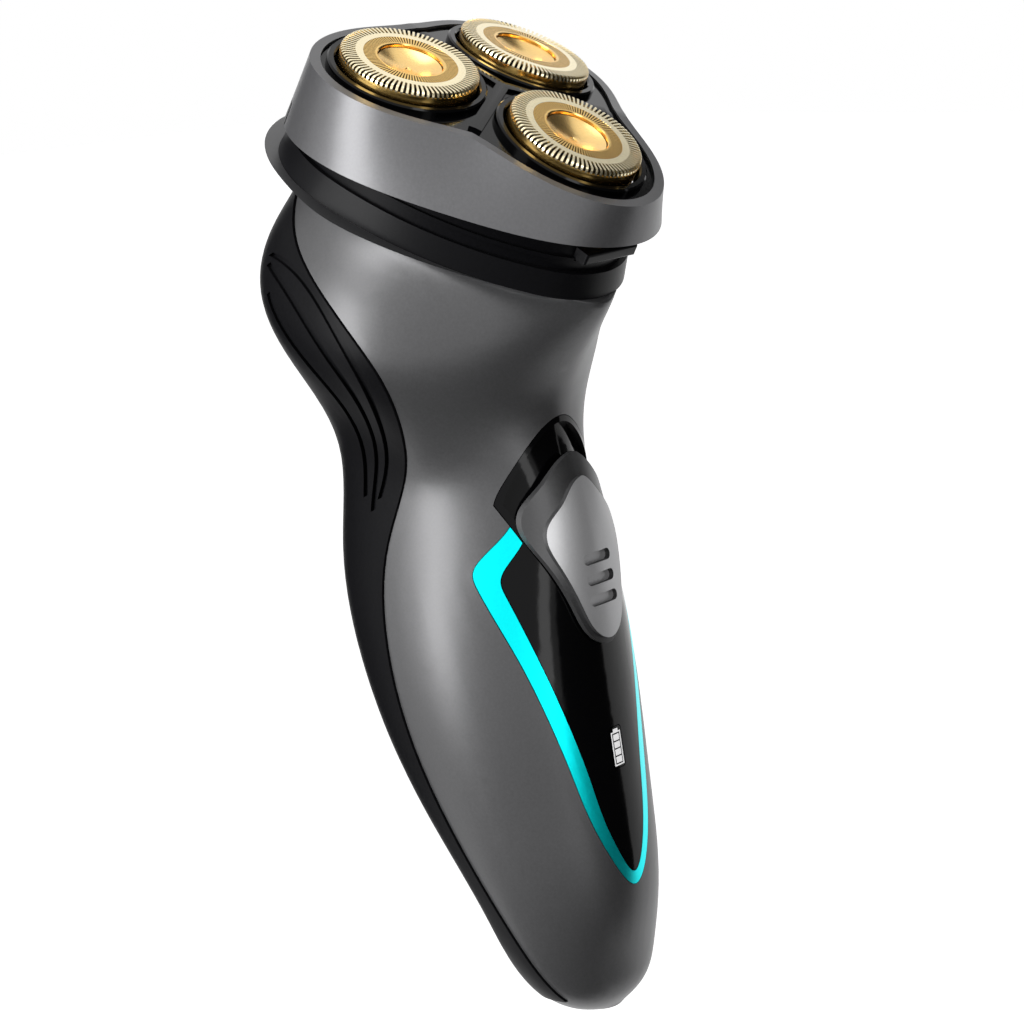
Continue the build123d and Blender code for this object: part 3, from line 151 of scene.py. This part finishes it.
switch_grey = finish("switch_rim_grey", (0.055, 0.055, 0.056), (0.07, 0.07, 0.072), (0.32, 0.4), metal=0.5)
white_print = finish("gauge_print", (0.8, 0.8, 0.81), (0.9, 0.9, 0.91), (0.3, 0.4))
gold = finish("cap_gold", (0.86, 0.55, 0.16), (0.93, 0.62, 0.2), (0.14, 0.22), metal=1.0)
pale_gold = finish("cap_tops", (0.94, 0.81, 0.52), (0.97, 0.87, 0.6), (0.2, 0.28), metal=1.0)
mirror_gold = finish("dish_gold", (0.9, 0.6, 0.22), (0.94, 0.66, 0.28), (0.22, 0.28), metal=1.0, depth=0.03)
# The cutter steel is made far darker than bright steel: painted shade, standing for the shade deep inside
# the caps under their slots.
blade_in_painted_shade = finish("blade_steel", (0.1, 0.09, 0.08), (0.14, 0.13, 0.12), (0.35, 0.45), metal=1.0)
steel = finish("bright_steel", (0.55, 0.56, 0.57), (0.62, 0.63, 0.64), (0.2, 0.3), metal=1.0)
nylon = finish("gear_nylon", (0.74, 0.73, 0.68), (0.8, 0.79, 0.75), (0.4, 0.5))
brass = finish("pinion_brass", (0.7, 0.5, 0.2), (0.76, 0.56, 0.25), (0.22, 0.3), metal=1.0)
grey = finish("frame_grey", (0.02, 0.02, 0.021), (0.03, 0.03, 0.031), (0.4, 0.5))
board = finish("board_green", (0.01, 0.1, 0.04), (0.02, 0.14, 0.06), (0.3, 0.4), scale=900)
wrap = finish("cell_wrap", (0.02, 0.06, 0.16), (0.03, 0.08, 0.2), (0.2, 0.3))
rubber = finish("black_rubber", (0.008, 0.008, 0.008), (0.014, 0.014, 0.014), (0.6, 0.7))
GLOW = 0.45
lit_print = white_print.node_tree.nodes["Principled BSDF"]
lit_print.inputs["Emission Color"].default_value = (1, 1, 1, 1)
lit_print.inputs["Emission Strength"].default_value = GLOW
print("finishes:", len(bpy.data.materials))

# %% [markdown]
# The part's record gives every solid a slot for its material. Finishes could be given solid by solid, but
# one table from slots to finishes is shorter, and the hidden solids, such as gears and the cell, get a
# look too.

# %% Put the finishes on the solids
SLOT_FINISH = {
    "gunmetal_shell": gunmetal, "gunmetal_bezel": bezel_grey, "black_cover": cover_black,
    "black_collar": collar_black, "black_gloss": panel_black, "teal_trim": teal, "silver_switch": silver,
    "gauge_white": white_print, "gold_cap": gold, "gold_dish": mirror_gold, "blade_steel": blade_in_painted_shade,
    "bright_steel": steel, "nickel_tab": steel, "gear_nylon": nylon, "spindle_acetal": nylon,
    "pinion_brass": brass, "grey_frame": grey, "board_green": board, "cell_wrap": wrap,
    "black_rubber": rubber, "socket_black": panel_black,
}
node_slot = {part["node"]: part["material_slot"] for part in frame["record"]["subparts"]}
node_body = {node: body for body, nodes in frame["record"]["behaviour"]["bodies"].items() for node in nodes}
for node, solid in frame["nodes"].items():
    solid.data.materials.clear()
    solid.data.materials.append(SLOT_FINISH[node_slot[node]])
print("slots in use:", len(set(node_slot.values())), "on", len(node_slot), "solids")


# %% [markdown]
# The moulded shells flow from one curve into the next, but a solid arrives as loose flat triangles, which
# can't be shaded smooth. A copy with its doubles merged can, with sharp edges only where two faces really
# meet at an angle. The copy then stands for the solid.


# %% Smooth copies of the solids that show
MERGE_DISTANCE = 2e-6


def add_piece(name, mesh, body, slot, *nodes):
    """A finished piece that rides on a body and stands for one or more solids."""
    piece = bpy.data.objects.new(name, mesh)
    scene.collection.objects.link(piece)
    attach(piece, body)
    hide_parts(*nodes)
    return piece


def smooth_copy(node, angle=30.0):
    """A merged copy of one solid, smooth up to an angle in degrees."""
    mesh = frame["nodes"][node].data.copy()
    work = bmesh.new()
    work.from_mesh(mesh)
    bmesh.ops.remove_doubles(work, verts=work.verts, dist=MERGE_DISTANCE)
    for face in work.faces:
        face.smooth = True
    work.to_mesh(mesh)
    work.free()
    if "custom_normal" in mesh.attributes:
        mesh.attributes.remove(mesh.attributes["custom_normal"])
    mesh.set_sharp_from_angle(angle=radians(angle))
    return add_piece(f"{node}_smooth", mesh, node_body[node], node_slot[node], node)


SHOWN = [
    "front_shell", "rear_cover", "display_panel", "accent_trim", "slide_switch", "collar",
    "release_button", "head_bezel", "head_plate", "seat_ring_1", "seat_ring_2", "seat_ring_3",
    "charging_socket", "collar_gasket",
]
copies = {node: smooth_copy(node) for node in SHOWN}
print("smooth copies:", len(copies))

# %% [markdown]
# The switch is one solid with two finishes: a dark rim, and a bright thumb pad with three grip grooves. A
# mask could paint the pad, but its edge would blur. Here the faces of the pad and of the groove floors
# get their own finish. They are found from one point on each, by walking from face to face until an edge
# turns sharply.


# %% Bright pad on the switch
def paint_patches(piece, starts, way, material, turn=25.0):
    """Give a finish to the smooth patches of faces that rays first meet."""
    mesh = piece.data
    mesh.materials.append(material)
    work = bmesh.new()
    work.from_mesh(mesh)
    work.faces.ensure_lookup_table()
    skin = BVHTree.FromBMesh(work)
    patch = {skin.ray_cast(start, way)[2] for start in starts}
    to_visit = [work.faces[index] for index in patch]
    while to_visit:
        face = to_visit.pop()
        for edge in face.edges:
            for other in edge.link_faces:
                if other.index not in patch and edge.calc_face_angle(pi) < radians(turn):
                    patch.add(other.index)
                    to_visit.append(other)
    for index in patch:
        work.faces[index].material_index = len(mesh.materials) - 1
    work.to_mesh(mesh)
    work.free()
    return len(patch)


# Heights on the handle, in millimetres, and a start well in front of it.
PAD_HEIGHT = 18.0
GROOVE_HEIGHTS = (7.1, 10.3, 13.4)
IN_FRONT = -100
INWARDS = Vector((0, 1, 0))
switch = copies["slide_switch"]
switch.data.materials.clear()
switch.data.materials.append(switch_grey)
spots = [Vector((0, IN_FRONT, height)) * MM for height in (PAD_HEIGHT, *GROOVE_HEIGHTS)]
print("pad faces:", paint_patches(switch, spots, INWARDS, silver))

# %% [markdown]
# Each cap is a thin gold cup with two rings of slots. The slots could be cut out of a disc, but that
# takes nearly two hundred cuts. Instead one bar between two slots is made, and a Geometry Nodes
# tree turns copies of it about the cap's axis, so the count is one number.


# %% Ring of bars
def ring_tree():
    """The tree, with the identifiers of its two inputs that a modifier sets."""
    tree = bpy.data.node_groups.new("Ring of bars", "GeometryNodeTree")
    tree.interface.new_socket("Bar", in_out="INPUT", socket_type="NodeSocketGeometry")
    count = tree.interface.new_socket("Count", in_out="INPUT", socket_type="NodeSocketInt")
    paint = tree.interface.new_socket("Finish", in_out="INPUT", socket_type="NodeSocketMaterial")
    tree.interface.new_socket("Ring", in_out="OUTPUT", socket_type="NodeSocketGeometry")
    given = tree.nodes.new("NodeGroupInput")
    put = tree.nodes.new("NodeGroupOutput")
    points = tree.nodes.new("GeometryNodePoints")
    index = tree.nodes.new("GeometryNodeInputIndex")
    share = tree.nodes.new("ShaderNodeMath")
    share.operation = "DIVIDE"
    turn = tree.nodes.new("ShaderNodeMath")
    turn.operation = "MULTIPLY"
    turn.inputs[1].default_value = 2 * pi
    about = tree.nodes.new("ShaderNodeCombineXYZ")
    copies = tree.nodes.new("GeometryNodeInstanceOnPoints")
    realize = tree.nodes.new("GeometryNodeRealizeInstances")
    colour = tree.nodes.new("GeometryNodeSetMaterial")
    link = tree.links.new
    link(given.outputs["Count"], points.inputs["Count"])
    link(index.outputs["Index"], share.inputs[0])
    link(given.outputs["Count"], share.inputs[1])
    link(share.outputs[0], turn.inputs[0])
    link(turn.outputs[0], about.inputs["Z"])
    link(points.outputs["Points"], copies.inputs["Points"])
    link(given.outputs["Bar"], copies.inputs["Instance"])
    link(about.outputs["Vector"], copies.inputs["Rotation"])
    link(copies.outputs["Instances"], realize.inputs["Geometry"])
    link(realize.outputs["Geometry"], colour.inputs["Geometry"])
    link(given.outputs["Finish"], colour.inputs["Material"])
    link(colour.outputs["Geometry"], put.inputs["Ring"])
    return tree, count.identifier, paint.identifier


RING, RING_COUNT, RING_FINISH = ring_tree()
print("tree:", RING.name, len(RING.nodes), "nodes")

# %% [markdown]
# On the real cap the slots run over the rim, so that hair can enter from the top and from the side. A bar
# therefore follows a bent profile: flat on top, round over the rim and a little way down. A modifier
# gives the plain mesh of one bar its ring, and the result is turned into a plain mesh again.


# %% Bars between the slots
RIM, SHEET = 10.5, 0.45
RING_IN, RING_OUT = 7.15, 8.3
HUB = 5.35
EDGE = 0.6
LAP = 0.02
BAR_FOOT = -0.85
OUTER_BAR_IN, OUTER_BAR_OUT = 0.15, 0.18
INNER_BAR_IN, INNER_BAR_OUT = 0.1, 0.13
OUTER_SLOTS, INNER_SLOTS = 84, 96


def turned_ring(bar_mesh, count, material):
    """A plain mesh of one bar, repeated about Z."""
    holder = bpy.data.objects.new("bar", bar_mesh)
    scene.collection.objects.link(holder)
    repeat = holder.modifiers.new("ring", "NODES")
    repeat.node_group = RING
    repeat[RING_COUNT] = count
    repeat[RING_FINISH] = material
    bpy.context.view_layer.update()
    seen = holder.evaluated_get(bpy.context.evaluated_depsgraph_get())
    mesh = bpy.data.meshes.new_from_object(seen)
    bpy.data.objects.remove(holder)
    return mesh


def strip(profile, half, thick):
    """A bar along a profile of (radius, height) points, with half its width at each, in millimetres."""
    mesh = bpy.data.meshes.new("strip")
    work = bmesh.new()
    rows = []
    for (r, z), w in zip(profile, half):
        rows.append([work.verts.new((r * MM, side * w * MM, z * MM)) for side in (-1, 1)])
    for near, far in zip(rows, rows[1:]):
        work.faces.new((near[0], far[0], far[1], near[1]))
    bmesh.ops.recalc_face_normals(work, faces=work.faces)
    bmesh.ops.solidify(work, geom=list(work.faces), thickness=thick * MM)
    work.to_mesh(mesh)
    work.free()
    return mesh


arc = [(RIM - EDGE + EDGE * sin(a), -EDGE + EDGE * cos(a)) for a in (0, pi / 6, pi / 3, pi / 2)]
outer_profile = [(RING_OUT - LAP, 0), *arc, (RIM, BAR_FOOT)]
outer_bar = strip(outer_profile, [OUTER_BAR_IN] + [OUTER_BAR_OUT] * (len(arc) + 1), SHEET)
inner_bar = strip([(HUB - LAP, -LAP), (RING_IN + LAP, -LAP)], [INNER_BAR_IN, INNER_BAR_OUT], SHEET)
outer_ring = turned_ring(outer_bar, OUTER_SLOTS, pale_gold)
inner_ring = turned_ring(inner_bar, INNER_SLOTS, gold)
print("slots:", OUTER_SLOTS + INNER_SLOTS, "faces:", len(outer_ring.polygons) + len(inner_ring.polygons))

# %% [markdown]
# Plain rings join the bars: a band between the two tracks, the wall of the middle well, and the skirt
# below the rim. They could be tubes with a thickness, but a closed profile that is spun about the axis,
# as on a lathe, gives each its true section.


# %% Plain rings of the cap
FOIL = 0.15
WELL_OUT, WELL_IN, WELL_EDGE = 5.05, 4.9, 0.15
WELL_FOOT = -1.7
SKIRT_TOP, SKIRT_FOOT = -0.8, -4.6
SEAM_DISTANCE = 1e-7
SHARP_EDGE = 35


def lathe(profile, steps=128):
    """A closed or open profile of (radius, height) points turned about Z, in millimetres."""
    work = bmesh.new()
    verts = [work.verts.new((r * MM, 0, z * MM)) for r, z in profile]
    edges = [work.edges.new(pair) for pair in zip(verts, verts[1:])]
    bmesh.ops.spin(work, geom=verts + edges, axis=(0, 0, 1), cent=(0, 0, 0), steps=steps, angle=2 * pi)
    bmesh.ops.remove_doubles(work, verts=work.verts, dist=SEAM_DISTANCE)
    bmesh.ops.recalc_face_normals(work, faces=work.faces)
    mesh = bpy.data.meshes.new("lathe")
    for face in work.faces:
        face.smooth = True
    work.to_mesh(mesh)
    work.free()
    mesh.set_sharp_from_angle(angle=radians(SHARP_EDGE))
    return mesh


band = lathe([(RING_IN, -SHEET), (RING_IN, 0), (RING_OUT, 0), (RING_OUT, -SHEET), (RING_IN, -SHEET)])
well = lathe([
    (HUB, -SHEET), (HUB, 0), (WELL_OUT, 0), (WELL_IN, -WELL_EDGE), (WELL_IN, WELL_FOOT),
    (WELL_OUT, WELL_FOOT), (WELL_OUT, -SHEET), (HUB, -SHEET),
])
skirt = lathe([
    (RIM - LAP, SKIRT_TOP), (RIM - LAP, SKIRT_FOOT), (RIM - FOIL, SKIRT_FOOT), (RIM - FOIL, SKIRT_TOP),
    (RIM - LAP, SKIRT_TOP),
])
print("plain ring faces:", len(band.polygons) + len(well.polygons) + len(skirt.polygons))

# %% [markdown]
# A polished dish with a dimple fills the middle of each cap and mirrors the studio. A scaled sphere would
# be quick, but its rim and dimple would be wrong, so its profile is a shallow curve that is turned like
# the plain rings.

# %% Polished dish, about its own axis
BOWL, BOWL_FLOOR, BOWL_RISE, BOWL_LIP = 4.8, -1.6, 1.05, -0.75
DIMPLE, DIMPLE_FLOOR, DIMPLE_EDGE = 0.4, -1.72, 0.5
FOOT, FOOT_FLOOR = 0.6, -1.85
BOWL_STEPS = (0.12, 0.25, 0.4, 0.55, 0.7, 0.85, 1.0)
bowl_curve = [(BOWL * t, BOWL_FLOOR + BOWL_RISE * t * t) for t in BOWL_STEPS]
dish = lathe([
    (0, DIMPLE_FLOOR), (DIMPLE, DIMPLE_FLOOR), (DIMPLE_EDGE, BOWL_FLOOR), *bowl_curve, (BOWL, BOWL_LIP),
    (FOOT, FOOT_FLOOR), (0, FOOT_FLOOR),
])
print("dish faces:", len(dish.polygons))

# %% [markdown]
# The head is tilted to the handle, and each cap leans outwards a little about a pivot below it. The caps
# could be three objects that are moved and turned, but the export wants every object at the origin. So
# one matrix for each cap puts its place into the mesh.

# %% Three caps in place
HEAD = Vector((0, -8, 86)) * MM
HEAD_TILT = radians(30)
BACK = Vector((0, cos(HEAD_TILT), sin(HEAD_TILT)))
UP = Vector((0, -sin(HEAD_TILT), cos(HEAD_TILT)))
LEAN = radians(5.2)
CAP_CIRCLE, CAP_PIVOT = 14.8 * MM, 6 * MM
CAP_ANGLES = (-90, 30, 150)


def joined(parts, place, name):
    """One mesh from (mesh, material) pairs, put in place."""
    mesh = bpy.data.meshes.new(name)
    work = bmesh.new()
    for index, (piece, material) in enumerate(parts):
        start = len(work.faces)
        work.from_mesh(piece)
        work.faces.ensure_lookup_table()
        for face in work.faces[start:]:
            face.material_index = index
        mesh.materials.append(material)
    work.transform(place)
    work.to_mesh(mesh)
    work.free()
    return mesh


def cap_place(angle):
    """The matrix of one cap, from its angle round the head in degrees."""
    out = Vector((1, 0, 0)) * cos(radians(angle)) + BACK * sin(radians(angle))
    normal = UP * cos(LEAN) + out * sin(LEAN)
    top = HEAD + out * CAP_CIRCLE - UP * CAP_PIVOT + normal * CAP_PIVOT
    side = (out - normal * out.dot(normal)).normalized()
    turn = Matrix((side, normal.cross(side), normal)).transposed().to_4x4()
    return Matrix.Translation(top) @ turn


for number, angle in enumerate(CAP_ANGLES, start=1):
    place = cap_place(angle)
    parts = [(outer_ring, pale_gold), (inner_ring, gold), (band, pale_gold), (well, gold), (skirt, gold)]
    cap = joined(parts, place, f"slotted_cap_{number}")
    add_piece(f"slotted_cap_{number}", cap, f"cap_{number}", "gold_cap", f"foil_cap_{number}")
    bowl = joined([(dish, mirror_gold)], place, f"polished_dish_{number}")
    add_piece(f"polished_dish_{number}", bowl, f"cap_{number}", "gold_dish", f"cap_dish_{number}")
    print("cap", number, len(cap.polygons), "faces")

# %% [markdown]
# The battery sign is printed on the gauge's window. It could be a picture, but real strokes stay sharp
# from close by. Each stroke is a small grid of points shot onto the window from the front, so the print
# follows the curved panel, and is given a little thickness.

# %% Battery sign on the gauge
SHARE_WIDE, SHARE_HIGH = 0.4, 0.45
LINE, CELLS, INK = 0.22 * MM, 4, 0.03 * MM
GRID = 4
window = frame["nodes"]["battery_gauge"].data
skin = BVHTree.FromPolygons([v.co for v in window.vertices], [p.vertices for p in window.polygons])
low_corner = Vector([min(v.co[i] for v in window.vertices) for i in range(3)])
high_corner = Vector([max(v.co[i] for v in window.vertices) for i in range(3)])
mid_x, mid_z = (low_corner.x + high_corner.x) / 2, (low_corner.z + high_corner.z) / 2
half_x = (high_corner.x - low_corner.x) * SHARE_WIDE
half_z = (high_corner.z - low_corner.z) * SHARE_HIGH


def printed(strokes):
    """A thin print of (left, right, bottom, top) strokes on the window."""
    work = bmesh.new()
    for left, right, bottom, top in strokes:
        rows = []
        for j in range(GRID + 1):
            z = bottom + (top - bottom) * j / GRID
            across = [left + (right - left) * i / GRID for i in range(GRID + 1)]
            hits = [skin.ray_cast(Vector((x, IN_FRONT * MM, z)), INWARDS)[0] for x in across]
            rows.append([work.verts.new(hit - Vector((0, INK, 0))) for hit in hits])
        for below, above in zip(rows, rows[1:]):
            for i in range(GRID):
                work.faces.new((below[i], below[i + 1], above[i + 1], above[i]))
    bmesh.ops.recalc_face_normals(work, faces=work.faces)
    bmesh.ops.solidify(work, geom=list(work.faces), thickness=2 * INK)
    mesh = bpy.data.meshes.new("print")
    work.to_mesh(mesh)
    work.free()
    return mesh


top_z = mid_z + half_z - 2 * LINE
low_z = mid_z - half_z
strokes = [
    (mid_x - half_x, mid_x - half_x + LINE, low_z, top_z),
    (mid_x + half_x - LINE, mid_x + half_x, low_z, top_z),
    (mid_x - half_x + LINE, mid_x + half_x - LINE, low_z, low_z + LINE),
    (mid_x - half_x + LINE, mid_x + half_x - LINE, top_z - LINE, top_z),
    (mid_x - half_x / 2, mid_x + half_x / 2, top_z, top_z + 2 * LINE),
]
pitch = (top_z - low_z - 3 * LINE) / CELLS
for cell in range(CELLS):
    foot = low_z + 2 * LINE + cell * pitch
    strokes.append((mid_x - half_x + 2 * LINE, mid_x + half_x - 2 * LINE, foot, foot + pitch - LINE))
sign = joined([(window, panel_black), (printed(strokes), white_print)], Matrix.Identity(4), "battery_sign")
add_piece("battery_sign", sign, "handle", "gauge_white", "battery_gauge")
print("battery sign:", len(strokes), "strokes")

# %% [markdown]
# The shaver is held in the air in a white studio, well above a pale floor. A white floor and surround
# would also throw light at it from all sides and flatten it. So both ask what kind of ray reaches them,
# and are bright only where they are seen, directly, mirrored or through something clear.


# %% Pale floor
def seen_directly(nodes, links):
    """1 for what the camera sees, also mirrored or through something clear, and 0 for other light."""
    path = nodes.new("ShaderNodeLightPath")
    either = nodes.new("ShaderNodeMath")
    either.operation = "MAXIMUM"
    links.new(path.outputs["Is Camera Ray"], either.inputs[0])
    links.new(path.outputs["Is Glossy Ray"], either.inputs[1])
    any_ray = nodes.new("ShaderNodeMath")
    any_ray.operation = "MAXIMUM"
    links.new(either.outputs[0], any_ray.inputs[0])
    links.new(path.outputs["Is Transmission Ray"], any_ray.inputs[1])
    return any_ray.outputs[0]


FLOOR_HEIGHT, FLOOR_HALF = -0.6, 8


def studio_floor(low, half):
    """A flat pale floor, in metres."""
    mesh = bpy.data.meshes.new("floor")
    corners = [(-half, -half, low), (half, -half, low), (half, half, low), (-half, half, low)]
    mesh.from_pydata(corners, [], [(0, 1, 2, 3)])
    floor = bpy.data.objects.new("floor", mesh)
    scene.collection.objects.link(floor)
    material = bpy.data.materials.new("pale_floor")
    material.use_nodes = True
    nodes, links = material.node_tree.nodes, material.node_tree.links
    shader = nodes["Principled BSDF"]
    shader.inputs["Base Color"].default_value = (0.9, 0.9, 0.9, 1)
    shader.inputs["Roughness"].default_value = 0.9
    shader.inputs["Emission Color"].default_value = (1, 1, 1, 1)
    links.new(seen_directly(nodes, links), shader.inputs["Emission Strength"])
    mesh.materials.append(material)
    return floor


studio_floor(FLOOR_HEIGHT, FLOOR_HALF)
print("floor at", FLOOR_HEIGHT, "m")

# %% White surround
SURROUND_LIGHT, SURROUND_SEEN = 0.1, 1.0
world = bpy.data.worlds.new("studio")
scene.world = world
world.use_nodes = True
nodes, links = world.node_tree.nodes, world.node_tree.links
surround = nodes["Background"]
surround.inputs["Color"].default_value = (1, 1, 1, 1)
level = nodes.new("ShaderNodeMapRange")
level.inputs["To Min"].default_value = SURROUND_LIGHT
level.inputs["To Max"].default_value = SURROUND_SEEN
links.new(seen_directly(nodes, links), level.inputs["Value"])
links.new(level.outputs["Result"], surround.inputs["Strength"])
print("surround:", SURROUND_LIGHT, "as light,", SURROUND_SEEN, "where it is seen")

# %% [markdown]
# A large soft box on the left shapes the handle, a narrow one on the right draws a line along it, and one
# above lights the caps. In an all-white studio a gloss panel and a polished dish look washed out, so
# photographers put black cards beside them. The cards here are hidden from the camera and only
# reflections and shadows show them.


# %% Lamps and dark cards
def soft_box(name, spot, aim, width, height, power):
    """A rectangular lamp that faces a point, in metres and watts."""
    light = bpy.data.lights.new(name, "AREA")
    light.shape = "RECTANGLE"
    light.size = width
    light.size_y = height
    light.energy = power
    lamp = bpy.data.objects.new(name, light)
    lamp.location = spot
    lamp.rotation_euler = (Vector(aim) - Vector(spot)).to_track_quat("-Z", "Y").to_euler()
    scene.collection.objects.link(lamp)
    return lamp


def dark_card(name, middle, aim, width, height):
    """A black card for smooth surfaces to mirror, hidden from the camera."""
    mesh = bpy.data.meshes.new(name)
    x, y = width / 2, height / 2
    mesh.from_pydata([(-x, -y, 0), (x, -y, 0), (x, y, 0), (-x, y, 0)], [], [(0, 1, 2, 3)])
    mesh.materials.append(rubber)
    card = bpy.data.objects.new(name, mesh)
    card.visible_camera = False
    card.location = middle
    card.rotation_euler = (Vector(aim) - Vector(middle)).to_track_quat("-Z", "Y").to_euler()
    scene.collection.objects.link(card)
    return card


# The camera's own axes, so that lamps and cards are placed as the picture shows them.
MIDDLE = Vector((0, -0.005, 0.015))
RIGHT = Vector((0.642, -0.765, -0.060))
HIGH = Vector((0.210, 0.101, 0.973))
NEAR = Vector((-0.737, -0.637, 0.225))
lamps = [
    soft_box("key_box", MIDDLE - RIGHT * 0.62 + HIGH * 0.06 + NEAR * 0.55, MIDDLE, 0.4, 0.9, 11),
    soft_box("fill_box", MIDDLE + RIGHT * 0.42 + HIGH * 0.1 + NEAR * 0.6, MIDDLE, 0.14, 0.7, 1.1),
    soft_box("top_box", MIDDLE + HIGH * 1.0 + NEAR * 0.3, MIDDLE, 0.6, 0.6, 3),
]
cards = [
    dark_card("right_card", MIDDLE + RIGHT * 0.53 + NEAR * 0.17, MIDDLE, 0.5, 1.0),
    dark_card("high_card", MIDDLE + RIGHT * 0.45 + HIGH * 0.35 - NEAR * 0.2, MIDDLE, 0.45, 0.6),
    dark_card("back_card", MIDDLE - RIGHT * 0.5 - NEAR * 0.35, MIDDLE, 0.6, 0.9),
    dark_card("low_card", MIDDLE - HIGH * 0.4 + NEAR * 0.2, MIDDLE, 0.9, 0.5),
]
print("lamps:", len(lamps), "cards:", len(cards))

# %% [markdown]
# The camera is a short telephoto, as product photographers use, in front of the shaver, to one side and a
# little above it. It could be placed by eye, but the photograph shows the three equal rings of the caps as
# ellipses, and only one place and turn of the camera fits all three.

# %% Camera
LENS, SENSOR = 85, 36
CAMERA_SPOT = (-0.278661, -0.244624, 0.104224)
CAMERA_TURN = (76.9574, 3.4151, -49.9825)
lens = bpy.data.cameras.new("camera")
lens.lens = LENS
lens.sensor_width = SENSOR
camera = bpy.data.objects.new("camera", lens)
camera.location = CAMERA_SPOT
camera.rotation_euler = [radians(angle) for angle in CAMERA_TURN]
scene.collection.objects.link(camera)
scene.camera = camera
scene.view_settings.view_transform = "Standard"
print("camera:", LENS, "mm lens")
